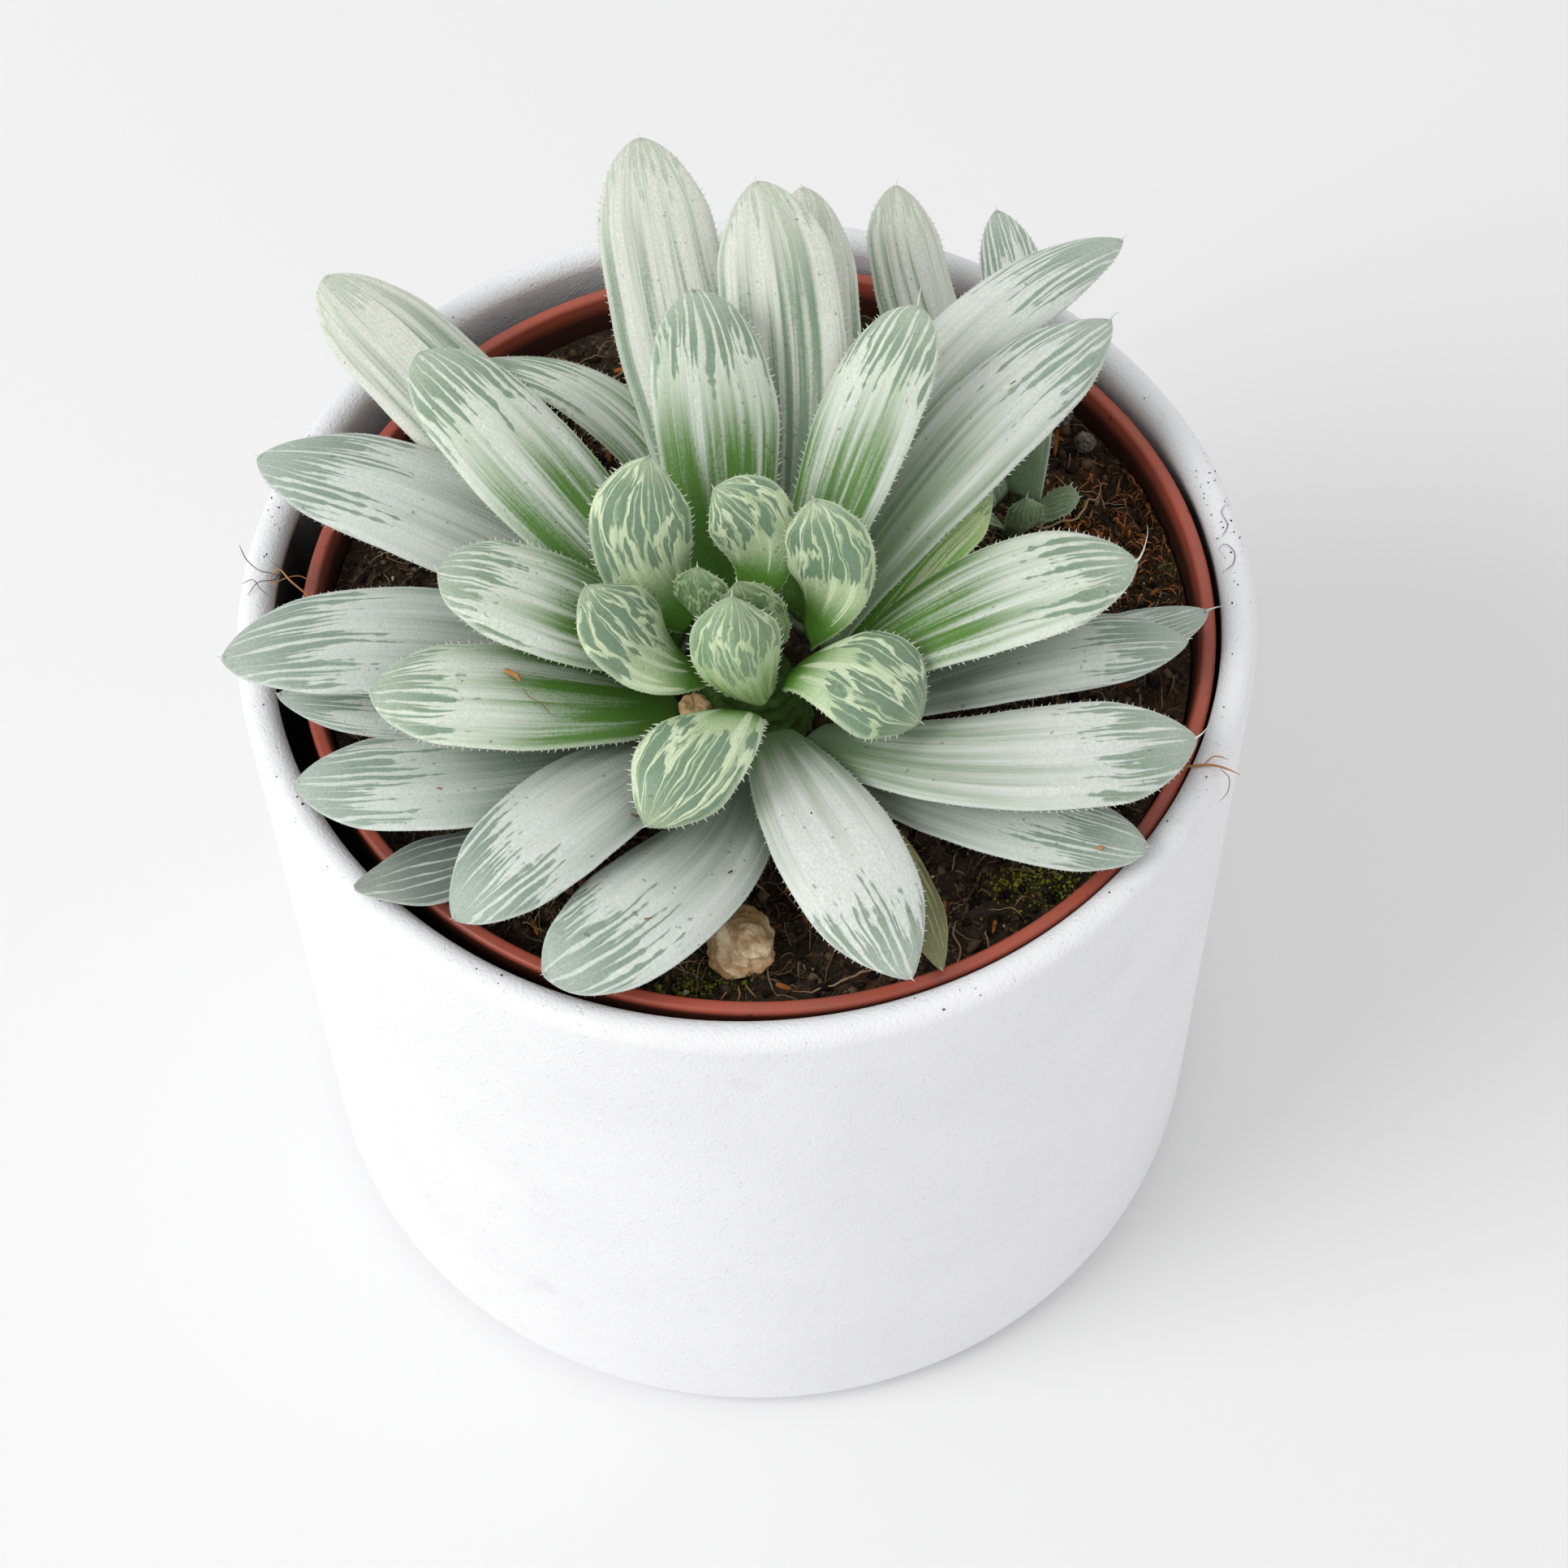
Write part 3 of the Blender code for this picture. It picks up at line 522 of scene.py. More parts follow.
def leaf_group():
    """Leaf skin on the blade's own map: u across, v from clasp to tip.
    Stripes are noise stretched along the leaf. Veins are bands round whole numbers of the across
    coordinate, wide and merged below the window's start and thin above it, with a stretched cell net."""
    colours = [(name, "Color") for name in ("Pale", "Green", "Window", "Vein", "Back")]
    numbers = [(name, "Float") for name in (
        "Seed", "Amount", "Base", "Bands", "Soft", "Start", "Veins", "Thin", "Wander", "Network", "Ragged")]
    outputs = [("Color", "Color"), ("Roughness", "Float"), ("Height", "Float")]
    graph, given, out = new_group("Leaf skin", colours + numbers, outputs)
    add, minus, times, scaled = graph.add, graph.minus, graph.times, graph.scaled
    step, blend = graph.step, graph.blend
    blade = graph.node("ShaderNodeUVMap", uv_map="blade").outputs[0]
    parts = graph.node("ShaderNodeSeparateXYZ", {0: blade}).outputs
    across = scaled(parts[0], 2.0, -1.0)
    along = parts[1]
    side = graph.math("ABSOLUTE", across)
    seed = times(given["Seed"], 7.31)
    under = graph.field("underside")
    bristle = graph.field("bristle")

    def streak(wide, long, shift, detail=2.0):
        stretched = graph.vector(times(across, wide), times(along, long), add(seed, shift))
        return graph.noise(stretched, 1.0, detail, 0.55)

    broad = streak(2.4, 0.7, 0.0, 1.0)
    band = streak(5.5, 0.9, 5.0, 2.0)
    middle = streak(9.0, 1.7, 11.0, 2.0)
    fine = streak(26.0, 2.2, 23.0, 2.0)
    hair = streak(70.0, 7.0, 31.0, 1.0)
    grain_node = graph.node("ShaderNodeGroup", node_tree=grain_group())
    grain_node.inputs["Size"].default_value = 0.00026
    grain_value = grain_node.outputs["Value"]
    place = graph.place()
    mottle = graph.noise(place, 260.0, 3.0, 0.6)

    def centred(value, weight):
        return scaled(value, weight, -0.5 * weight)

    field = add(centred(broad, 0.6), centred(band, 1.0))
    field = times(add(field, centred(middle, 0.45)), given["Bands"])
    field = add(field, add(centred(fine, 0.62), centred(grain_value, 0.42)))
    field = add(field, minus(given["Amount"], 0.5))
    slope = scaled(along, -0.8, 0.36)
    field = add(field, times(add(slope, times(step(along, 0.26, 0.0), 0.4)), given["Base"]))
    field = add(field, times(step(side, 0.60, 0.98), 0.14))
    stripe = step(field, times(given["Soft"], -1.0), given["Soft"])
    body = blend(stripe, given["Pale"], given["Green"])
    shade = add(times(hair, 0.16), times(fine, 0.14))
    shade = add(shade, times(grain_value, 0.44))
    shade = add(shade, times(mottle, 0.14))
    shade = add(shade, 0.53)

    wander = times(minus(streak(2.2, 3.6, 47.0, 2.0), 0.5), given["Wander"])
    phase = add(times(graph.field("lateral"), times(given["Veins"], 0.5)), times(wander, 2.2))
    lane = graph.math("FLOOR", phase)
    half_lane = graph.math("FLOOR", add(phase, 0.5))
    chance = graph.chance(add(lane, seed))
    luck = graph.chance(add(half_lane, add(seed, 0.37)))
    distance = times(graph.math("ABSOLUTE", minus(graph.math("FRACT", phase), 0.5)), 2.0)
    shift = times(minus(chance, 0.5), 0.16)
    high = add(add(along, shift), times(minus(middle, 0.5), 0.20))
    opened = step(high, minus(given["Start"], 0.14), add(given["Start"], 0.12))
    dash = graph.noise(graph.vector(times(half_lane, 3.7), times(along, 30.0), add(seed, 61.0)), 1.0, 1.0)
    ragged = add(times(times(opened, minus(1.0, opened)), given["Ragged"]), 0.30)
    dash = times(minus(dash, 0.5), ragged)
    narrow = minus(given["Thin"], 1.34)
    width = add(scaled(opened, narrow, 1.34), dash)
    ending = scaled(chance, 0.34, 0.86)
    width = times(width, step(along, ending, minus(ending, 0.24)))
    vein = step(minus(width, distance), -0.17, 0.17)
    reach = scaled(luck, 0.26, add(given["Start"], -0.02))
    short = minus(1.0, step(high, minus(reach, 0.20), add(reach, 0.04)))
    short = add(scaled(short, 1.15, -0.28), times(dash, 0.7))
    between = minus(1.0, distance)
    vein = graph.larger(vein, step(minus(short, between), -0.17, 0.17))
    net_place = graph.vector(times(phase, 0.92), times(high, 2.7), seed)
    net = graph.cells(net_place, 1.0, "DISTANCE_TO_EDGE")
    net_width = scaled(opened, -0.43, 0.50)
    net_width = add(net_width, times(minus(fine, 0.5), 0.07))
    net_width = times(net_width, scaled(step(along, 0.65, 0.98), -0.45, 1.0))
    net_line = step(minus(net_width, net), -0.022, 0.022)
    vein = graph.larger(vein, times(net_line, given["Network"]))
    window_zone = step(along, minus(given["Start"], 0.25), add(given["Start"], 0.05))
    vein_colour = blend(times(window_zone, 0.7), body, given["Vein"])
    green_glass = blend(0.35, given["Window"], given["Green"])
    glassy = blend(times(mottle, 0.5), given["Window"], green_glass)
    glassy = blend(times(step(along, 0.80, 1.0), 0.40), glassy, given["Vein"])
    skin = blend(vein, glassy, vein_colour)
    edge = step(side, 0.90, 0.985)
    skin = blend(times(edge, 0.55), skin, given["Vein"])
    pale_back = blend(0.55, given["Back"], given["Pale"])
    back_stripe = blend(step(middle, 0.35, 0.65), given["Back"], pale_back)
    skin = blend(times(under, scaled(opened, -0.65, 0.85)), skin, back_stripe)
    toned = graph.node("ShaderNodeVectorMath", {0: skin}, operation="SCALE")
    graph.put(shade, toned.inputs["Scale"])
    speck = step(graph.noise(place, 1500.0, 1.0), 0.735, 0.77)
    dotted = blend(times(speck, 0.5), toned.outputs[0], (0.10, 0.09, 0.06))
    final = blend(times(bristle, 0.9), dotted, (0.72, 0.75, 0.66))
    graph.put(final, out["Color"])
    window_only = times(minus(1.0, vein), step(under, 0.6, 0.4))
    rough = scaled(window_only, -0.13, 0.47)
    graph.put(scaled(minus(grain_value, 0.5), 0.12, rough), out["Roughness"])
    relief = add(times(grain_value, scaled(window_only, -0.6, 1.0)), times(fine, 0.8))
    relief = add(relief, times(hair, 0.5))
    graph.put(add(relief, times(vein, 0.4)), out["Height"])
    return graph.tree


def surface(name):
    """The graph of a new material."""
    material = bpy.data.materials.new(name)
    material.use_nodes = True
    return Graph(material.node_tree, material)


def darker(colour, share, lift=0.0):
    """A colour with each part times a share, plus a lift."""
    return tuple(part * share + lift for part in colour)


def leaf_material(name, look, group):
    """The skin of one leaf, with a little light passing under its surface."""
    skin = SKINS[look.skin]
    graph = surface(name)
    node = graph.node("ShaderNodeGroup", node_tree=group)
    values = {label.capitalize(): value for label, value in skin._asdict().items() if label != "form"}
    values.update(Seed=float(look.seed), Amount=skin.amount + look.green)
    for label, value in values.items():
        graph.put(value, node.inputs[label])
    colour, rough, height = node.outputs
    return graph.feed({
        "Base Color": colour, "Roughness": rough, "Specular IOR Level": 0.4, "Subsurface Weight": 0.18,
        "Subsurface Radius": (1.0, 1.2, 0.5), "Subsurface Scale": 0.0012,
        "Normal": graph.bump(height, 0.00005, 0.8)})


def ceramic_material(colour):
    """Matte white ceramic: fine grain, faint mottling and smudges, and near black painted shade, with some
    soil, on the rim's inside.
    """
    graph = surface("white_ceramic")
    add, times, step, blend, noise = graph.add, graph.times, graph.step, graph.blend, graph.noise
    where = graph.place()
    mottle = noise(where, 60.0, 4.0, 0.6)
    fine = noise(where, 1800.0, 3.0, 0.65)
    tone = blend(step(mottle, 0.3, 0.75), colour, darker(colour, 0.955))
    smudge = times(step(noise(where, 130.0, 4.0, 0.7), 0.60, 0.80), 0.18)
    tone = blend(smudge, tone, (0.50, 0.46, 0.41))
    speck = step(noise(where, 2100.0, 1.0), 0.79, 0.83)
    tone = blend(times(speck, 0.4), tone, (0.25, 0.22, 0.2))
    # Painted shade, with some soil: near black down the inner wall, in the gap between the pots, broken up
    # by the mottle.
    shade_and_soil = times(graph.field("shade_and_soil"), step(mottle, 0.1, 0.4))
    tone = blend(shade_and_soil, tone, (0.02, 0.015, 0.012))
    pit = step(graph.cells(where, 900.0), 0.16, 0.05)
    height = add(noise(where, 3200.0, 2.0, 0.6), times(pit, -0.6))
    height = add(height, times(noise(where, 420.0, 3.0), 1.2))
    return graph.feed({
        "Base Color": tone, "Roughness": graph.scaled(fine, 0.15, 0.52), "Specular IOR Level": 0.35,
        "Normal": graph.bump(height, 0.00014, 0.8)})


def plastic_material(colour):
    """Terracotta-coloured moulded plastic: satin, with fine scuffs and dried dust, and near black painted
    shade, with some soil, below the lip's top.
    """
    graph = surface("terracotta_plastic")
    times, step, blend, noise = graph.times, graph.step, graph.blend, graph.noise
    where = graph.place()
    dust = noise(where, 90.0, 5.0, 0.65)
    scuff = noise(where, 700.0, 4.0, 0.7)
    tone = blend(step(dust, 0.45, 0.75), colour, darker(colour, 0.62, 0.03))
    tone = blend(times(step(scuff, 0.62, 0.8), 0.35), tone, (0.45, 0.30, 0.22))
    speck = step(noise(where, 1100.0, 2.0), 0.68, 0.76)
    tone = blend(times(speck, 0.7), tone, (0.05, 0.03, 0.02))
    # Painted shade, with some soil: near black on the lip's outside, in the gap to the cover pot, and down
    # the inner wall above the mix.
    shade_and_soil = times(graph.field("shade_and_soil"), step(dust, 0.1, 0.4))
    tone = blend(shade_and_soil, tone, (0.018, 0.010, 0.007))
    return graph.feed({
        "Base Color": tone, "Roughness": graph.scaled(dust, 0.3, 0.28),
        "Normal": graph.bump(graph.add(scuff, dust), 0.00008, 0.6)})


def peat_material(colour):
    """Damp peat: near black to brown by noise, with patches of green algae and of rusty fibre dust.
    Fibres are noise stretched ten to one along three directions, cut to thin strokes."""
    graph = surface("peat")
    add, times, step, blend, noise = graph.add, graph.times, graph.step, graph.blend, graph.noise
    where = graph.place()
    clump = noise(where, 300.0, 5.0, 0.7)
    fine = noise(where, 1900.0, 4.0, 0.7)
    tone = blend(step(clump, 0.3, 0.72), darker(colour, 0.30), colour)
    tone = blend(step(fine, 0.52, 0.82), tone, darker(colour, 3.0))
    strokes = 0.0
    for turn in (20.0, 75.0, 140.0):
        laid = graph.mapped(where, "TEXTURE", location=(turn * MM, 0.0, 0.0),
                            rotation=(0.3, 0.0, math.radians(turn)), scale=(3.2 * MM, 0.32 * MM, MM))
        strokes = graph.larger(strokes, step(noise(laid, 1.0, 2.0, 0.6), 0.60, 0.67))
    tone = blend(times(strokes, 0.55), tone, tint(150, 120, 88))
    rust = times(step(noise(where, 75.0, 3.0), 0.52, 0.68), step(fine, 0.35, 0.65))
    tone = blend(times(rust, 0.6), tone, tint(122, 76, 40))
    aside = graph.mapped(where, location=(0.031, 0.013, 0.0))
    moss = times(step(noise(aside, 62.0, 4.0, 0.65), 0.60, 0.70), step(fine, 0.40, 0.6))
    tone = blend(times(moss, 0.8), tone, tint(104, 122, 38))
    return graph.feed({
        "Base Color": tone, "Roughness": graph.scaled(clump, -0.15, 1.0), "Specular IOR Level": 0.15,
        "Normal": graph.bump(add(add(fine, clump), times(strokes, 0.8)), 0.0004)})


def litter_material(name):
    """Loose bits: each has its own tone between its dark and light colour, broken up by noise."""
    graph = surface(name)
    fine = graph.noise(graph.place(), 1700.0, 3.0, 0.65)
    share = graph.add(graph.field("tone"), graph.scaled(fine, 0.7, -0.35))
    dark, light = BIT_TONES[name]
    return graph.feed({
        "Base Color": graph.blend(graph.step(share, 0.0, 1.0), tint(*dark), tint(*light)),
        "Roughness": 0.85, "Specular IOR Level": 0.2, "Normal": graph.bump(fine, 0.00012, 0.8)})


def stone_material():
    """Grey-brown pumice: a rough, pitted grain, with painted shade in its pits."""
    graph = surface("pumice")
    where = graph.place()
    pits = graph.cells(where, 2600.0)
    fine = graph.noise(where, 1300.0, 4.0, 0.7)
    tone = graph.blend(graph.step(fine, 0.35, 0.7), tint(66, 58, 50), tint(146, 136, 122))
    # Painted shade: the pits are darkened to near black brown.
    tone = graph.blend(graph.step(pits, 0.3, 0.1), tone, tint(34, 28, 22))
    return graph.feed({
        "Base Color": tone, "Roughness": 0.9, "Normal": graph.bump(graph.add(pits, fine), 0.0003)})


def husk_material():
    """Dry papery husk: tan with paler ridges and brown stains."""
    graph = surface("dry_husk")
    where = graph.place()
    stain = graph.noise(where, 380.0, 4.0, 0.65)
    fine = graph.noise(where, 1500.0, 3.0, 0.6)
    tone = graph.blend(graph.step(stain, 0.36, 0.66), tint(186, 146, 96), tint(244, 226, 190))
    tone = graph.blend(graph.times(graph.step(fine, 0.6, 0.8), 0.5), tone, tint(120, 82, 50))
    return graph.feed({
        "Base Color": tone, "Roughness": 0.6, "Subsurface Weight": 0.1, "Subsurface Scale": 0.001,
        "Normal": graph.bump(graph.add(stain, fine), 0.0002, 0.8)})


# ---- Leaves ----

def leaf_sections(node):
    """Sections of a leaf's solid, clasp to tip: middle, across and up directions, half width, and
    heights over and under. Rings are the sets of points one, two, three and more edges from the tip."""
    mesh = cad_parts[node].data
    points = np.empty(len(mesh.vertices) * 3)
    mesh.vertices.foreach_get("co", points)
    corners = np.empty(len(mesh.loops), dtype=np.int32)
    mesh.loops.foreach_get("vertex_index", corners)
    points, same = np.unique(np.round(points.reshape(-1, 3), 6), axis=0, return_inverse=True)
    triangles = same.ravel()[corners].reshape(-1, 3)
    # Large leaves have rings of ten points, small ones rings of eight.
    count, large = len(points), 81
    ring = 10 if count == large else 8
    linked = np.zeros((count, count), bool)
    linked[triangles, np.roll(triangles, 1, axis=1)] = True
    linked |= linked.T
    for tip in np.flatnonzero(linked.sum(axis=1) == ring):
        reached = np.zeros(count, bool)
        reached[tip] = True
        front = reached
        layers = []
        while True:
            front = linked[front].any(axis=0) & ~reached
            if not front.any():
                break
            layers.append(np.flatnonzero(front))
            reached = reached | front
        if all(len(layer) == ring for layer in layers):
            break
    else:
        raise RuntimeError(f"{node} has no rings of {ring} points round a tip")
    # A ring of ten has no point at its crest: its highest points lie at this share of the height.
    crest = 0.941 if ring == 10 else 1.0
    rows = []
    for layer in reversed(layers):
        edge = points[layer]
        _, _, axes = np.linalg.svd(edge - edge.mean(axis=0))
        flat = (edge - edge.mean(axis=0)) @ axes[:2].T
        edge = edge[np.argsort(np.arctan2(flat[:, 1], flat[:, 0]))]
        half = ring // 2
        widest = int(np.argmax(np.linalg.norm(edge[:half] - edge[half:], axis=1)))
        one, other = edge[widest], edge[widest + half]
        middle = (one + other) / 2.0
        across = unit(one - other)
        up = np.cross(axes[2], across)
        heights = (edge - middle) @ up
        over, under = heights.max(), -heights.min()
        if over > under:
            up, over, under = -up, under, over
        rows.append((middle, across, up, np.linalg.norm(one - other) / 2.0, over / crest, under / crest))
    middles = np.array([row[0] for row in rows] + [points[tip]])
    across = np.array([row[1] for row in rows] + [rows[-1][1]])
    up = np.array([row[2] for row in rows] + [rows[-1][2]])
    sizes = np.array([row[3:] for row in rows] + [(0.0, 0.0, 0.0)])
    ahead = unit(np.gradient(middles, axis=0))
    turn = np.sign(np.sum(across * np.cross(up, ahead), axis=1, keepdims=True))
    return middles, across * turn, up, sizes


def leaf_frame(node, rows, form):
    """The sections read smoothly at many places, closer together towards the tip.
    Half width and heights go through their powers of the form's bluntness: 1 closes the tip to a straight
    point and 2 to a parabola. The half width narrows to the clasp, flares below the tip, and draws in over
    the last third as the form says."""
    middles, across, up, sizes = leaf_sections(node)
    places = travelled(middles)
    length = places[-1]
    places = places / length
    crowding, last = 1.5, 0.9985
    along = (1.0 - (1.0 - np.linspace(0.0, 1.0, rows)) ** crowding) * last
    middle = smooth_through(places, middles, along)
    ahead = unit(np.gradient(middle, axis=0))
    ahead[0] = unit(np.cross(across[0], up[0]))
    side = smooth_through(places, across, along)
    side = unit(side - ahead * np.sum(side * ahead, axis=1, keepdims=True))
    over = np.cross(ahead, side)
    waist, flare, blunt, point = form
    powers = np.maximum(smooth_through(places, sizes ** blunt, along), 1e-7)
    shape = powers ** (1.0 / blunt)
    shape[:, 0] *= 1.0 - waist * (1.0 - along) ** 1.3
    shape[:, 0] *= 1.0 + flare * hump(along, 0.84, 0.10)
    shape[:, 0] *= 1.0 - point * np.clip((along - 0.70) / 0.30, 0.0, 1.0) ** 1.7
    return along, middle, ahead, side, over, shape, length


def upper_face(x):
    """Height share of a leaf's upper face, (1 - |x|^2.4)^0.8, at a share across."""
    return np.maximum(1.0 - np.abs(x) ** 2.4, 0.0) ** 0.8


def leaf_piece(name, sizes, group):
    """One leaf: blade, marginal teeth and awn.
    Blade: middle + half width x side + h(x, v) over, with x = cos a. Over the blade h is
    top (1 - |x|^2.4)^0.8, hollowed a little along the lower half, and under it -bottom (1 - |x|^1.5)^0.85,
    a soft keel. Faint ribs along the leaf ride on both."""
    look = LOOKS[name]
    rows, cols = sizes.leaf_rows, sizes.leaf_columns
    if look.skin == "pup":
        rows, cols = rows // 2, cols // 2
    along, middle, ahead, side, over, shape, length = leaf_frame(name, rows, SKINS[look.skin].form)
    random = np.random.default_rng(look.seed)
    angle = around(cols)
    x = np.cos(angle)
    top = upper_face(x)
    bottom = np.maximum(1.0 - np.abs(x) ** 1.5, 0.0) ** 0.85
    v = along[:, None]
    hollow = 0.45 * hump(v, 0.30, 0.28) * (1.0 - x ** 2)
    swell = 0.10 * hump(v, 0.82, 0.12)
    rib_height, wave_depth = 0.05 * MM, 0.03
    ribs = rib_height * layered(x * 5.0 + look.seed, v * 1.5 + look.seed, look.seed, 2) * (1.0 - x ** 6)
    edge_wave = wave_depth * layered(v * 7.0 + look.seed, np.sign(x) * 3.0, look.seed + 5, 2)
    half = shape[:, :1] * (1.0 + edge_wave * np.abs(x))
    height = np.where(angle < math.pi, shape[:, 1:2] * top * (1.0 - hollow + swell), -shape[:, 2:] * bottom)
    height = height + ribs * np.where(angle < math.pi, 1.0, -1.0) * np.minimum(shape[:, 1:2] / MM, 1.0)
    points = middle[:, None] + side[:, None] * (half * x)[:, :, None] + over[:, None] * height[:, :, None]
    shell = Shell()
    under = np.clip(0.5 - 3.0 * np.sin(angle), 0.0, 1.0)[None] + np.zeros((rows, 1))
    blade = np.stack(np.broadcast_arrays((x + 1.0) / 2.0, v), -1).reshape(-1, 2)
    spread = 0.0 if look.skin in ("inner", "bud", "pup") else 0.6
    lateral = x * (shape[:, :1] / shape[:, 0].max()) ** spread
    shell.add(points, tube_faces(rows, cols), blade=blade, lateral=lateral.ravel(),
              underside=under.ravel(), bristle=0.0)

    # Teeth: rings of five points at four places from root to tip, from root gap to end gap.
    sides, root_gap, end_gap = 5, 0.10 * length, 0.4 * MM
    step = np.array([-0.25, 0.15, 0.6, 1.0])
    widths = np.array([0.24, 0.17, 0.085, 0.015])
    whites = np.repeat([0.2, 0.6, 1.0, 1.0], sides)
    for hand in (-1.0, 1.0):
        border = middle + side * shape[:, :1] * hand
        places = travelled(border)
        spacing = sizes.tooth_spacing
        seats = np.arange(root_gap, places[-1] - end_gap, spacing)
        seats = seats + random.uniform(-0.3, 0.3, len(seats)) * spacing
        if len(seats) == 0:
            continue
        root, out, forth, up = read_at(seats, places, (border, side * hand, ahead, over))
        share = np.interp(seats, places, along)
        reach = sizes.tooth_length * look.teeth * random.uniform(0.55, 1.15, len(seats))
        reach = reach * np.clip((1.0 - share) / 0.06, 0.3, 1.0)
        lean = random.uniform(0.1, 0.6, (len(seats), 1))
        outward = unit(out + forth * lean + up * random.uniform(-0.15, 0.45, (len(seats), 1)))
        paths = root[:, None] + outward[:, None] * (step[:, None] * reach[:, None, None])
        hook = 0.18 * np.maximum(step, 0.0)[:, None] ** 2 * reach[:, None, None]
        paths = paths + forth[:, None] * hook
        seat_map = np.stack([np.full(len(seats), (hand + 1.0) / 2.0), share], -1)
        shell.add(*swept(paths, reach[:, None] * widths, sides), lateral=hand, underside=0.0,
                  blade=np.repeat(seat_map, len(whites), axis=0), bristle=np.tile(whites, len(seats)))

    step = np.linspace(0.0, 1.0, 14)[None, :, None]
    reach = look.awn * MM
    start = middle[-1] - ahead[-1] * 0.25 * MM
    bow = over[-1] * math.cos(look.seed) + side[-1] * math.sin(look.seed)
    away = unit(ahead[-1] + np.array([0.0, 0.0, 0.7]))
    awn = start + away * reach * (step - 0.35 * look.curl * step ** 2)
    awn = awn + bow * reach * look.curl * 0.6 * step ** 2
    awn = awn + np.cross(away, bow) * reach * look.curl * 0.22 * np.sin(5.0 * step) * step
    thick = sizes.awn_width * (1.0 - 0.9 * step[:, :, 0]) * min(1.0, 0.7 + look.awn / 4.0)
    thick = thick * (1.0 + 1.6 * np.exp(-step[:, :, 0] / 0.09))
    sides = 8
    shell.add(*swept(awn, thick, sides), blade=np.array([[0.5, 0.995]]), lateral=0.0, underside=0.0,
              bristle=np.repeat(np.clip(step[0, :, 0] * 3.0, 0.0, 1.0), sides))
    slot = LEAF_SLOTS.get(name[:-3], "inner_leaf")
    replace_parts(shell.piece(name + "_skin", leaf_material(name, look, group), slot), name)


# ---- Soil helpers ----

def soil_axis():
    """Centre, radius and crown level of the growing mix, from its CAD node."""
    low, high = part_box("soil")
    return (low + high) / 2.0, (high.x - low.x) / 2.0, high.z


def soil_level(x, y):
    """Height of the growing mix at a place: crown - mound sin^2(share x 90 degrees) + clods, ridges and
    crumbs, with a hollow behind the rosette and less relief at the pot's wall."""
    centre, radius, crown = soil_axis()
    share = np.clip(np.hypot(x - centre.x, y - centre.y) / radius, 0.0, 1.0)
    mound = 0.2 * MM
    smooth = crown - mound * np.sin(share * math.pi / 2.0) ** 2
    u, v = x / MM, y / MM
    clods = 0.75 * layered(u / 6.0, v / 6.0, 11, 3)
    ridges = 0.9 * np.abs(layered(u / 2.6, v / 2.6, 31, 3))
    crumbs = 0.75 * layered(u / 1.1, v / 1.1, 51, 3)
    rise = (clods + ridges + crumbs - 0.55) * bpy.context.scene.succulent_sizes.soil_relief
    hollow = 6.0 * MM * hump(u, -16.0, 5.0) * hump(v, 27.0, 4.5)
    fade = np.clip((1.0 - share) / 0.03, 0.0, 1.0)
    return smooth + rise * (0.25 + 0.75 * fade) - hollow - mound


def scatter(random, count, inner, outer):
    """Places spread evenly over the ring of the growing mix between two shares of its radius."""
    centre, radius, _ = soil_axis()
    reach = radius * np.sqrt(random.uniform(inner ** 2, outer ** 2, count))
    angle = random.uniform(0.0, 2.0 * math.pi, count)
    return centre.x + reach * np.cos(angle), centre.y + reach * np.sin(angle)


def ball(rows, cols, gap):
    """Directions to the points of a ball, (rows, cols, 3), with holes of the gap's angle at its poles."""
    polar = np.linspace(gap, math.pi - gap, rows)[:, None]
    angle = around(cols)
    return np.stack(np.broadcast_arrays(
        np.sin(polar) * np.cos(angle), np.sin(polar) * np.sin(angle), -np.cos(polar)), -1)


def lumps(random, centres, radii, rings=4, sides=6):
    """Rough lumps: spheres r(a, b) = radius (0.72 to 1.22, at random), squashed and turned at random."""
    count = len(centres)
    jitter = random.uniform(0.72, 1.22, (count, rings * sides, 1))
    scale = random.uniform(0.55, 1.0, (count, 1, 3)) * np.asarray(radii)[:, None, None]
    local = ball(rings, sides, 0.12).reshape(1, -1, 3) * jitter * scale
    axes = np.linalg.qr(random.normal(size=(count, 3, 3)))[0]
    axes = axes * np.sign(np.linalg.det(axes))[:, None, None]
    points = np.einsum("kij,kpj->kpi", axes, local) + np.asarray(centres)[:, None]
    return points.reshape(-1, 3), tube_faces(rings, sides, count)


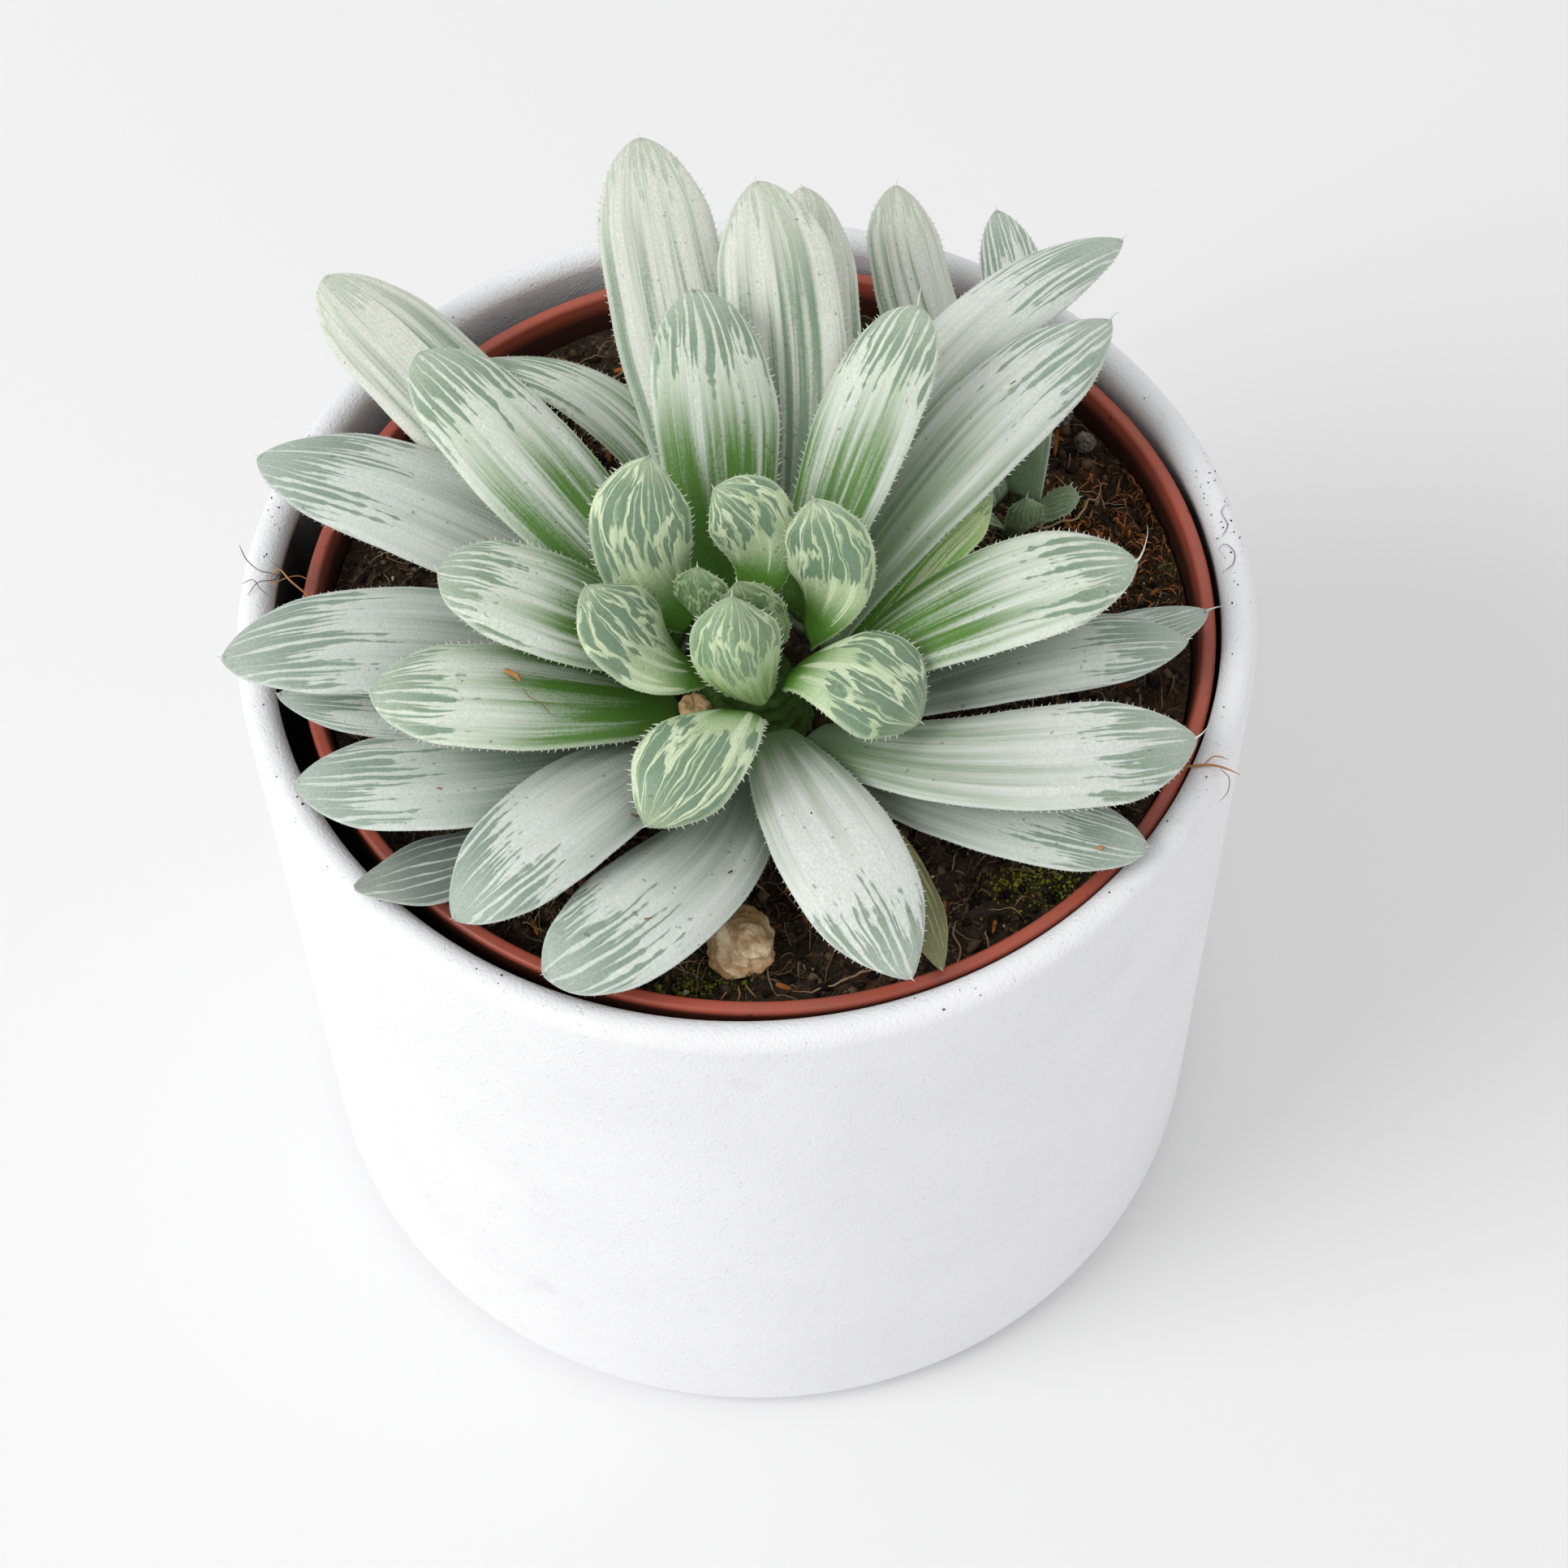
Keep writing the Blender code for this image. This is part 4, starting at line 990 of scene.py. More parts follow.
def fibres(random, starts, lengths, thick, curl, sides, steps, lift):
    """Curling fibres on the mix: a heading that turns steadily and wavers, laid over the soil's height.
    Path point = start + sum of steps along the heading; z = soil level + arch + tilt + half the radius."""
    count = len(lengths)
    heading = random.uniform(0.0, 2.0 * math.pi, count)[:, None]
    bend = random.normal(0.0, curl, (count, 1))
    waver = np.cumsum(random.normal(0.0, curl * 0.35, (count, steps)), axis=1)
    share = np.linspace(0.0, 1.0, steps)[None]
    direction = heading + bend * share + waver
    stride = (np.asarray(lengths) / (steps - 1))[:, None]
    x = starts[0][:, None] + np.cumsum(np.cos(direction) * stride, axis=1)
    y = starts[1][:, None] + np.cumsum(np.sin(direction) * stride, axis=1)
    centre, radius, _ = soil_axis()
    reach = np.hypot(x - centre.x, y - centre.y)
    keep = np.minimum(1.0, (radius - 0.4 * MM) / np.maximum(reach, 1e-6))
    x = centre.x + (x - centre.x) * keep
    y = centre.y + (y - centre.y) * keep
    arch = random.uniform(0.0, lift, (count, 1)) * MM * np.sin(share * math.pi)
    tilt = random.uniform(-0.5, 0.5, (count, 1)) * lift * MM * (share - 0.5)
    z = soil_level(x, y) + arch + tilt + np.asarray(thick)[:, None] * 0.5
    taper = np.interp(share[0], [0.0, 0.15, 0.8, 1.0], [0.35, 1.0, 0.8, 0.2])
    return swept(np.stack([x, y, z], -1), np.asarray(thick)[:, None] * taper, sides)


def heaped(random, x, y, radii, sunk, *mesh):
    """Lumps lying on the mix, their middles a share of their radius above it."""
    return lumps(random, np.stack([x, y, soil_level(x, y) + radii * sunk], -1), radii, *mesh)


def strand(knots, radius, steps=24, sides=6):
    """A thin root or hair: a smooth curve through its knots, thinner at both ends."""
    knots = np.asarray(knots, float)
    places = travelled(knots)
    share = np.linspace(0.0, 1.0, steps)
    path = smooth_through(places, knots, share * places[-1])
    taper = np.interp(share, [0.0, 0.15, 0.7, 1.0], [0.5, 1.0, 0.9, 0.25])
    return swept(path[None], (radius * taper)[None], sides)


def on_leaf(name, spots, lift):
    """Points on a leaf's upper face: each spot is a share of its length and a share across."""
    along, middle, _, side, over, shape, _ = leaf_frame(name, 80, SKINS[LOOKS[name].skin].form)
    spots = np.asarray(spots, float)
    middle, side, over, shape = read_at(spots[:, 0], along, (middle, side, over, shape))
    x = spots[:, 1:]
    return middle + side * shape[:, :1] * x + over * (shape[:, 1:2] * upper_face(x) + lift)


def loose_piece(name, *blocks):
    """A piece of loose bits in the slot of the mix: blocks are ((points, faces), tone of each bit)."""
    shell = Shell()
    for (points, faces), tone in blocks:
        shell.add(points, faces, tone=np.repeat(tone, len(points) // len(tone)))
    shell.piece(name, litter_material(name), "peat")


# Bits lying on leaves: leaf, spots (share along, share across), radius in mm, tone.
LEAF_BITS = (
    ("leaf_middle_04", ((0.605, -0.30), (0.590, -0.24), (0.575, -0.20), (0.565, -0.08)), 0.30, 0.75),
    ("leaf_middle_04", ((0.560, 0.02), (0.545, 0.18), (0.515, 0.30), (0.490, 0.50), (0.478, 0.56)),
     0.05, 0.45),
    ("leaf_lower_06", ((0.458, 0.74), (0.455, 0.80), (0.447, 0.84), (0.440, 0.84)), 0.08, 0.35),
    ("leaf_lowest_07", ((0.700, 0.16), (0.690, 0.20), (0.682, 0.22)), 0.07, 0.5),
    ("leaf_lowest_07", ((0.472, 0.58), (0.465, 0.60), (0.458, 0.61)), 0.10, 0.2),
    ("leaf_lowest_09", ((0.878, -0.42), (0.871, -0.40), (0.864, -0.40)), 0.26, 1.3),
    ("leaf_lowest_05", ((0.644, 0.29), (0.639, 0.30), (0.634, 0.31)), 0.09, 0.6),
    ("leaf_middle_05", ((0.438, -0.15), (0.434, -0.15), (0.430, -0.14)), 0.08, 0.2),
    ("leaf_middle_02", ((0.710, 0.10), (0.700, 0.11), (0.694, 0.12)), 0.05, 0.3),
)
# Stray roots and hairs over the rim: knots in mm, radius in mm, tone.
STRAY = (
    (((38.8, -19.6, 78.6), (40.2, -20.2, 79.9), (41.6, -20.6, 80.35),
      (42.6, -20.9, 80.25), (43.8, -21.3, 79.8)), 0.13, 1.0),
    (((40.6, -20.3, 80.1), (41.6, -19.7, 80.5), (42.8, -20.0, 80.4)), 0.07, 0.9),
    (((42.0, -20.9, 80.3), (42.7, -21.8, 80.2), (42.6, -22.8, 79.5), (41.7, -23.5, 78.6)), 0.045, 0.6),
    (((-39.6, 1.6, 78.3), (-41.0, 2.2, 79.6), (-42.4, 3.1, 80.5),
      (-43.6, 4.2, 80.9), (-44.3, 3.4, 80.5), (-43.6, 2.6, 80.4)), 0.10, 1.0),
    (((-40.2, 3.6, 78.6), (-41.6, 4.0, 80.0), (-43.0, 3.4, 80.5), (-44.4, 2.6, 80.4)), 0.06, 0.9),
    (((-47.2, 6.6, 81.6), (-46.5, 5.2, 81.2), (-45.4, 4.4, 80.6),
      (-44.0, 4.0, 80.5), (-42.6, 3.4, 80.4)), 0.045, 0.1),
    (((-46.4, 1.9, 80.1), (-45.4, 3.0, 80.6), (-43.9, 3.2, 80.7),
      (-43.4, 4.4, 80.6), (-44.4, 5.3, 80.8)), 0.045, 0.1),
    (((-47.0, 3.0, 80.4), (-46.0, 3.4, 80.5), (-45.2, 2.4, 80.4), (-44.2, 1.4, 80.4)), 0.035, 0.1),
    (((44.4, 0.8, 80.2), (45.6, 2.0, 80.1), (45.8, 3.4, 80.05),
      (45.0, 4.2, 80.15), (44.4, 3.6, 80.2), (44.9, 2.6, 80.3)), 0.035, 0.2),
    (((44.8, 5.0, 80.2), (45.5, 6.4, 80.1), (45.1, 8.0, 80.15), (45.8, 9.2, 79.9)), 0.035, 0.2),
    (((-2.6, -38.6, 75.4), (-2.9, -39.6, 75.6), (-3.4, -40.3, 75.7)), 0.08, 0.95),
    (((-1.8, -38.8, 75.3), (-1.7, -39.8, 75.5), (-1.9, -40.6, 75.9)), 0.08, 1.0),
    (((-1.2, -38.6, 75.3), (-0.7, -39.5, 75.5), (-0.2, -40.1, 75.4)), 0.07, 0.9),
)


# ---- Properties ----

class SucculentSizes(bpy.types.PropertyGroup):
    """Sizes and amounts that a user would change."""
    leaf_rows: IntProperty(name="Leaf rows", description="Rings of points along a leaf", default=60, min=12)
    leaf_columns: IntProperty(name="Leaf columns", description="Points round a leaf", default=44, min=12)
    tooth_length: FloatProperty(name="Tooth length", description="Length of a tooth on a leaf's margin",
                                default=0.36 * MM, unit="LENGTH", precision=5)
    tooth_spacing: FloatProperty(name="Tooth spacing", description="Distance between teeth along a margin",
                                 default=0.68 * MM, unit="LENGTH", precision=5)
    awn_width: FloatProperty(name="Awn width", description="Radius of the hair at a leaf's tip",
                             default=0.11 * MM, unit="LENGTH", precision=5)
    soil_relief: FloatProperty(name="Soil relief", description="Height of clods in the growing mix",
                               default=1.0 * MM, unit="LENGTH", precision=5)
    crumbs: IntProperty(name="Crumbs", description="Loose crumbs on the growing mix", default=3900, min=0)
    fibres: IntProperty(name="Fibres", description="Loose fibres on the growing mix", default=2800, min=0)


class SucculentColours(bpy.types.PropertyGroup):
    """Colours that a user would change."""
    ceramic: FloatVectorProperty(name="Ceramic", description="Cover pot", subtype="COLOR",
                                 default=tint(246, 246, 249), min=0.0, max=1.0)
    plastic: FloatVectorProperty(name="Plastic", description="Nursery pot", subtype="COLOR",
                                 default=tint(180, 88, 68), min=0.0, max=1.0)
    peat: FloatVectorProperty(name="Peat", description="Growing mix", subtype="COLOR",
                              default=tint(78, 65, 54), min=0.0, max=1.0)


# ---- Operators ----

class SUCCULENT_OT_cover_pot(bpy.types.Operator):
    """Build the ceramic cover pot"""
    bl_idname = "succulent.cover_pot"
    bl_label = "Cover Pot"

    def execute(self, context):
        _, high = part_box("cover_pot")
        radius, height = high.x, high.z
        wall, floor, foot, inner_round = 3.2 * MM, 4.0 * MM, 3.5 * MM, 3.0 * MM
        inside, lip = radius - wall, wall / 2.0
        segments, middle = 256, 6.0 * MM
        # Row of the profile that is on the inner side of the lip's arc.
        lip_inside = 66
        profile = np.concatenate([
            line((middle, 0.0), (radius - foot - 0.5 * MM, 0.0), 6),
            arc((radius - foot, foot), foot, -90.0, 0.0, 14),
            line((radius, foot + 2.0 * MM), (radius, height - lip - 1.0 * MM), 30),
            arc((radius - lip, height - lip), lip, 0.0, 180.0, 26),
            line((inside, height - lip - 1.0 * MM), (inside, floor + inner_round + MM), 24),
            arc((inside - inner_round, floor + inner_round), inner_round, 0.0, -90.0, 8),
            line((inside - inner_round - MM, floor), (middle, floor), 6),
        ])

        def wobble(r, h, angle):
            """Hand-smoothed surface: dents of up to 0.08 mm inward, and a rim up to 0.06 mm low."""
            dent = 0.5 + 0.5 * layered(angle * 6.0 / math.pi, h / (9.0 * MM), 3, 3)
            seam = np.minimum(1.0, np.minimum(angle, 2.0 * math.pi - angle) / 0.3)
            side = np.clip((r - 20.0 * MM) / (20.0 * MM), 0.0, 1.0)
            rim = np.clip((h - height + 2.0 * MM) / (2.0 * MM), 0.0, 1.0)
            return r - 0.08 * MM * dent * seam * side, h - 0.06 * MM * dent * seam * rim

        # Painted shade, with some soil: the inner wall from 1.7 mm below the top down is marked near black,
        # except at the back.
        depth = (height - profile[:, 1]) / MM
        inner_wall = (np.arange(len(profile)) > lip_inside) & (profile[:, 0] < inside + 0.01 * MM)
        below = np.where(inner_wall, np.clip((depth - 1.7) / 0.5, 0.0, 1.0), 0.0)
        angle = around(segments)
        round_part = np.clip((0.55 - np.sin(angle)) / 0.3, 0.0, 1.0)
        shell = Shell()
        shade_and_soil = (0.95 * below[:, None] * round_part).ravel()
        shell.add(*turned(profile, segments, (0.0, 0.0), wobble), shade_and_soil=shade_and_soil)
        material = ceramic_material(tuple(context.scene.succulent_colours.ceramic))
        pot = shell.piece("cover_pot_ceramic", material, "white_ceramic")
        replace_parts(pot, "cover_pot")
        return {"FINISHED"}


class SUCCULENT_OT_nursery_pot(bpy.types.Operator):
    """Build the plastic nursery pot"""
    bl_idname = "succulent.nursery_pot"
    bl_label = "Nursery Pot"

    def execute(self, context):
        low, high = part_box("nursery_pot")
        centre = (low + high) / 2.0
        lip_radius = (high.x - low.x) / 2.0
        wall, lip_height, lip_wall, lip_round = 1.0 * MM, 6.0 * MM, 1.35 * MM, 0.45 * MM
        base_radius = lip_radius * 0.73
        foot, lift = 4.0 * MM, 2.0 * MM
        segments, middle = 224, 5.0 * MM
        holes, hole_radius, hole_circle = 6, 3.0 * MM, 18.0 * MM
        # Rows of the profile from the lip's inner arc on.
        inner_rows = 44

        def inner(z):
            top, bottom = lip_radius - lip_wall, base_radius - wall
            return bottom + (top - bottom) * (z - low.z) / (high.z - low.z)

        under = high.z - lip_height
        floor = low.z + lift + wall
        profile = np.concatenate([
            line((middle, low.z + lift), (base_radius - foot, low.z + lift), 5),
            line((base_radius - foot, low.z), (base_radius, low.z), 3),
            line((base_radius + 0.1 * MM, low.z + 0.4 * MM), (inner(under) + wall, under), 16),
            arc((lip_radius - lip_round, under + lip_round), lip_round, -80.0, 0.0, 4),
            line((lip_radius, under + MM), (lip_radius, high.z - lip_round - 0.3 * MM), 4),
            arc((lip_radius - lip_round, high.z - lip_round), lip_round, 0.0, 90.0, 7),
            arc((inner(high.z) + lip_round, high.z - lip_round), lip_round, 92.0, 180.0, 7),
            line((inner(high.z - MM), high.z - MM), (inner(high.z - 5.0 * MM), high.z - 5.0 * MM), 14),
            line((inner(high.z - 6.0 * MM), high.z - 6.0 * MM), (inner(floor), floor), 18),
            line((inner(floor) - MM, floor), (middle, floor), 5),
        ])

        def wobble(r, h, angle):
            """Thin plastic that never stays quite round: radius and height waver by up to 0.15 mm."""
            lip = np.clip((h - under) / lip_height, 0.0, 1.0)
            wave = 0.10 * np.sin(3.0 * angle + 0.6) + 0.05 * np.sin(7.0 * angle + 2.0)
            dip = 0.5 + 0.5 * np.sin(2.0 * angle + 1.0)
            return r - (0.15 + wave) * 0.6 * MM * lip, h - 0.12 * MM * dip * lip

        # Painted shade, with some soil: the outside is marked near black from 0.25 mm below the top, where
        # it faces the gap to the cover pot, and the inside from 0.8 mm below the top.
        depth = (high.z - profile[:, 1]) / MM
        inside = np.arange(len(profile)) >= len(profile) - inner_rows
        within = 0.92 * np.clip((depth - 0.8) / 1.3, 0.0, 1.0)
        shade_and_soil = np.where(inside, within, 0.96 * np.clip((depth - 0.25) / 0.6, 0.0, 1.0))
        shell = Shell()
        shell.add(*turned(profile, segments, (centre.x, centre.y), wobble),
                  shade_and_soil=np.repeat(shade_and_soil, segments))
        material = plastic_material(tuple(context.scene.succulent_colours.plastic))
        pot = shell.piece("nursery_pot_plastic", material, "terracotta_plastic")
        cut_holes(pot, [(centre.x + hole_circle * math.cos(a), centre.y + hole_circle * math.sin(a),
                         low.z, floor + MM, hole_radius) for a in around(holes)])
        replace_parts(pot, "nursery_pot")
        return {"FINISHED"}


class SUCCULENT_OT_soil(bpy.types.Operator):
    """Build the growing mix with its clods"""
    bl_idname = "succulent.soil"
    bl_label = "Growing Mix"

    def execute(self, context):
        low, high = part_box("soil")
        centre, radius, _ = soil_axis()
        bottom, rim = low.z, high.z - 0.2 * MM
        base_radius = radius * 0.755
        segments, middle = 560, 4.0 * MM
        # Rings of the top: close together near the wall, then even to the middle.
        top_radius = np.concatenate([
            np.linspace(radius, radius - 3.0 * MM, 13), np.linspace(radius - 3.23 * MM, middle, 152)])
        profile = np.concatenate([
            line((middle + MM, bottom), (base_radius, bottom), 4),
            line((base_radius, bottom), (radius - 0.1 * MM, rim - 1.2 * MM), 10)[1:],
            np.stack([top_radius, np.full(len(top_radius), rim)], -1),
        ])
        points, faces = turned(profile, segments, (centre.x, centre.y))
        points = points.reshape(len(profile), segments, 3)
        top = points[-len(top_radius):]
        top[:, :, 2] = soil_level(top[:, :, 0], top[:, :, 1])
        shell = Shell()
        shell.add(points, faces)
        material = peat_material(tuple(context.scene.succulent_colours.peat))
        mix = shell.piece("growing_mix", material, "peat")
        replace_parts(mix, "soil")
        return {"FINISHED"}


class SUCCULENT_OT_litter(bpy.types.Operator):
    """Scatter crumbs, fibres, slivers and grains over the growing mix"""
    bl_idname = "succulent.litter"
    bl_label = "Crumbs and Fibres"

    def execute(self, context):
        sizes = context.scene.succulent_sizes
        random = np.random.default_rng(404)
        count = sizes.crumbs
        x, y = scatter(random, count, 0.48, 0.975)
        radii = 0.16 * MM + 0.70 * MM * random.random(count) ** 3.5
        loose_piece("peat_crumbs", (heaped(random, x, y, radii, 0.35), random.random(count) ** 1.8))

        count, long_count = sizes.fibres, 34
        starts = scatter(random, count, 0.50, 0.95)
        lengths = random.uniform(0.9, 4.0, count) * MM
        thick = random.uniform(0.03, 0.085, count) * MM
        short = (fibres(random, starts, lengths, thick, 0.45, 4, 8, 0.9), random.random(count) ** 1.2)
        starts = scatter(random, long_count, 0.60, 0.93)
        lengths = random.uniform(6.0, 15.0, long_count) * MM
        thick = random.uniform(0.07, 0.15, long_count) * MM
        long = fibres(random, starts, lengths, thick, 1.1, 6, 22, 1.6)
        loose_piece("root_fibres", short, (long, random.uniform(0.3, 1.0, long_count)))

        count = 420
        starts = (random.normal(36.3, 2.7, count) * MM, random.normal(9.0, 4.6, count) * MM)
        lengths = random.uniform(0.5, 2.2, count) * MM
        thick = random.uniform(0.04, 0.14, count) * MM
        tuft = fibres(random, starts, lengths, thick, 0.5, 4, 8, 1.4)
        loose_piece("rusty_tuft", (tuft, random.random(count) ** 1.3))

        count = 900
        near = random.random(count) < 0.65
        x = np.where(near, random.normal(26.0, 3.2, count), random.normal(-5.5, 2.2, count)) * MM
        y = np.where(near, random.normal(-28.8, 1.5, count), random.normal(-38.0, 0.8, count)) * MM
        radii = random.uniform(0.08, 0.28, count) * MM
        loose_piece("moss_grains", (heaped(random, x, y, radii, 0.5), random.random(count)))

        count = 150
        x, y = scatter(random, count, 0.62, 0.95)
        heading = random.uniform(0.0, 2.0 * math.pi, count)[:, None]
        reach = random.uniform(0.5, 1.7, count)[:, None] * MM * np.linspace(-1.0, 1.0, 5)
        slope = random.uniform(-0.35, 0.35, (count, 1))
        paths = np.stack([
            x[:, None] + np.cos(heading) * reach, y[:, None] + np.sin(heading) * reach,
            soil_level(x, y)[:, None] + 0.35 * MM + slope * reach], -1)
        radii = random.uniform(0.14, 0.32, count)[:, None] * MM * np.array([0.5, 1.0, 1.1, 0.9, 0.45])
        loose_piece("bark_slivers", (swept(paths, radii, 5), random.random(count)))

        x, y = scatter(random, count, 0.60, 0.96)
        radii = random.uniform(0.12, 0.36, count) * MM
        loose_piece("pale_grains", (heaped(random, x, y, radii, 0.7, 5, 7), random.random(count)))
        return {"FINISHED"}


class SUCCULENT_OT_loose(bpy.types.Operator):
    """Build the pumice grains, the dry husk and the cut flower stalk"""
    bl_idname = "succulent.loose"
    bl_label = "Loose Pieces"

    def execute(self, context):
        stone = stone_material()
        for index in (1, 2, 3):
            self.rough_ball(f"pumice_{index}", stone, "pumice", index * 17, 0.16, 2.4, 44)
        self.rough_ball("dry_husk", husk_material(), "dry_plant", 90, 0.26, 1.7, 70)
        low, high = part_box("flower_stalk_stub")
        centre = (low + high) / 2.0
        radius = (high.x - low.x) / 2.0
        profile = np.concatenate([
            line((0.1 * MM, low.z), (radius * 0.96, low.z), 3),
            line((radius, low.z + 0.1 * MM), (radius, high.z - radius * 0.4), 8),
            arc((radius * 0.62, high.z - radius * 0.4), radius * 0.4, 10.0, 90.0, 7),
            line((radius * 0.5, high.z - radius * 0.06), (0.1 * MM, high.z - radius * 0.22), 5),
        ])

        def wobble(r, h, angle):
            """Dried ribs down the side and a ragged cut."""
            rib = 0.05 * np.sin(angle * 9.0) + 0.04 * np.sin(angle * 5.0 + 1.0)
            cut = 0.1 * MM * np.abs(np.sin(angle * 3.0)) * (h > high.z - radius * 0.5)
            return r * (0.95 + rib), h - cut

        shell = Shell()
        shell.add(*turned(profile, 48, (centre.x, centre.y), wobble), tone=0.6)
        stub = shell.piece("flower_stalk_cut", litter_material("dry_stalk"), "dry_plant")
        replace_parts(stub, "flower_stalk_stub")
        return {"FINISHED"}

    def rough_ball(self, node, material, slot, seed, rough, scale, rows):
        """A ball fitted to its node's box: r = 1 + rough x layered noise of its direction, with folds."""
        low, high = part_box(node)
        centre, half = (low + high) / 2.0, (high - low) / 2.0
        cols = rows * 2
        way = ball(rows, cols, 0.03)
        x, y, z = way[..., 0] * scale, way[..., 1] * scale, way[..., 2] * scale
        bumps = layered(x + 1.7 * z, y - z, seed, 5)
        folds = 1.0 - np.abs(layered(x * 1.4 + 9.0, y * 1.4 + z, seed + 9, 3))
        reach = (1.0 - rough) + rough * bumps + 0.5 * rough * (folds - 0.6)
        points = way * reach[..., None]
        least, most = points.min(axis=(0, 1)), points.max(axis=(0, 1))
        points = (2.0 * (points - least) / (most - least) - 1.0) * np.array(half) + np.array(centre)
        shell = Shell()
        shell.add(points, tube_faces(rows, cols))
        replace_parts(shell.piece(node + "_rough", material, slot), node)


def grow(prefix, stem, sizes):
    """Build all leaves whose names start alike, and their stem: a turned outline with scars."""
    group = bpy.data.node_groups.get("Leaf skin") or leaf_group()
    for name in LOOKS:
        if name.startswith(prefix):
            leaf_piece(name, sizes, group)
    # The stem's material is darkened as painted shade.
    bark = bpy.data.materials.get("stem_bark") or litter_material("stem_bark")
    low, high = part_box(stem)
    centre, height, width = (low + high) / 2.0, high.z - low.z, (high.x - low.x) / 2.0
    rise = np.linspace(0.0, 1.0, 90)
    outline = np.interp(
        rise, [0.0, 0.28, 0.5, 0.66, 0.84, 0.97, 1.0], [0.98, 0.90, 0.72, 0.56, 0.34, 0.14, 0.02])
    segments = 72

    def scars(r, h, angle):
        """Rings of clasp scars that climb round the stem, under ribs."""
        climb = np.sin(2.0 * math.pi * (h - low.z) / (1.6 * MM) + 3.0 * angle)
        return r * (0.92 + 0.05 * climb + 0.03 * np.sin(13.0 * angle)), h

    shell = Shell()
    profile = np.stack([width * outline, low.z + height * rise], -1)
    shell.add(*turned(profile, segments, (centre.x, centre.y), scars),
              tone=np.repeat(0.9 - 0.7 * rise, segments))
    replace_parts(shell.piece(stem + "_bark", bark, "stem_tissue"), stem)


class SUCCULENT_OT_rosette(bpy.types.Operator):
    """Build the leaves of the main rosette and its stem"""
    bl_idname = "succulent.rosette"
    bl_label = "Rosette"

    def execute(self, context):
        grow("leaf_", "stem", context.scene.succulent_sizes)
        return {"FINISHED"}


class SUCCULENT_OT_offset(bpy.types.Operator):
    """Build the leaves of the offset and its stem"""
    bl_idname = "succulent.offset"
    bl_label = "Offset"

    def execute(self, context):
        grow("offset_leaf_", "offset_stem", context.scene.succulent_sizes)
        return {"FINISHED"}


class SUCCULENT_OT_dirt(bpy.types.Operator):
    """Put specks, crumbs and stray roots on the cover pot"""
    bl_idname = "succulent.dirt"
    bl_label = "Specks and Stray Roots"

    def execute(self, context):
        random = np.random.default_rng(77)
        _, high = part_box("cover_pot")
        lip = 1.6 * MM
        # Clusters on the rim: direction and spread in degrees, number of specks.
        clusters = ((9.0, 3.0, 44), (15.0, 4.0, 30), (1.5, 5.0, 16), (168.0, 3.0, 22), (205.0, 14.0, 14),
                    (330.0, 25.0, 26), (250.0, 30.0, 16), (90.0, 90.0, 24))
        directions = np.concatenate([random.normal(way, spread, count) for way, spread, count in clusters])
        across = random.uniform(-1.1, 1.1, len(directions)) * MM
        angle = np.radians(directions)
        height = high.z - lip + np.sqrt(np.maximum(lip ** 2 - across ** 2, 0.0))
        reach = high.x - lip + across
        radii = 0.028 * MM + 0.13 * MM * random.random(len(angle)) ** 2.5
        centres = np.stack([
            reach * np.cos(angle), reach * np.sin(angle), height + radii * 0.2 - 0.03 * MM], -1)
        blocks = [(lumps(random, centres, radii), 0.5 * random.random(len(angle)) ** 2)]
        # Crumbs stuck to the outside: direction in degrees, height in mm, radius in mm.
        stuck = np.array((
            (212.0, 71.0, 0.30), (222.0, 66.0, 0.18), (236.0, 62.0, 0.24), (243.0, 63.5, 0.12),
            (300.0, 58.0, 0.12), (286.0, 47.0, 0.10), (322.0, 66.0, 0.10), (232.0, 40.0, 0.08),
            (250.0, 20.0, 0.10)))
        angle, height, radii = np.radians(stuck[:, 0]), stuck[:, 1] * MM, stuck[:, 2] * MM
        reach = high.x - 0.12 * MM - radii
        centres = np.stack([reach * np.cos(angle), reach * np.sin(angle), height], -1)
        blocks.append((lumps(random, centres, radii * 1.1, 5, 7), 0.4 * random.random(len(angle)) ** 2))
        for leaf, spots, radius, tone in LEAF_BITS:
            blocks.append((strand(on_leaf(leaf, spots, radius * 0.6 * MM), radius * MM, 12), [tone]))
        for knots, radius, tone in STRAY:
            blocks.append((strand(np.array(knots) * MM, radius * MM), [tone]))
        loose_piece("soil_specks", *blocks)
        return {"FINISHED"}


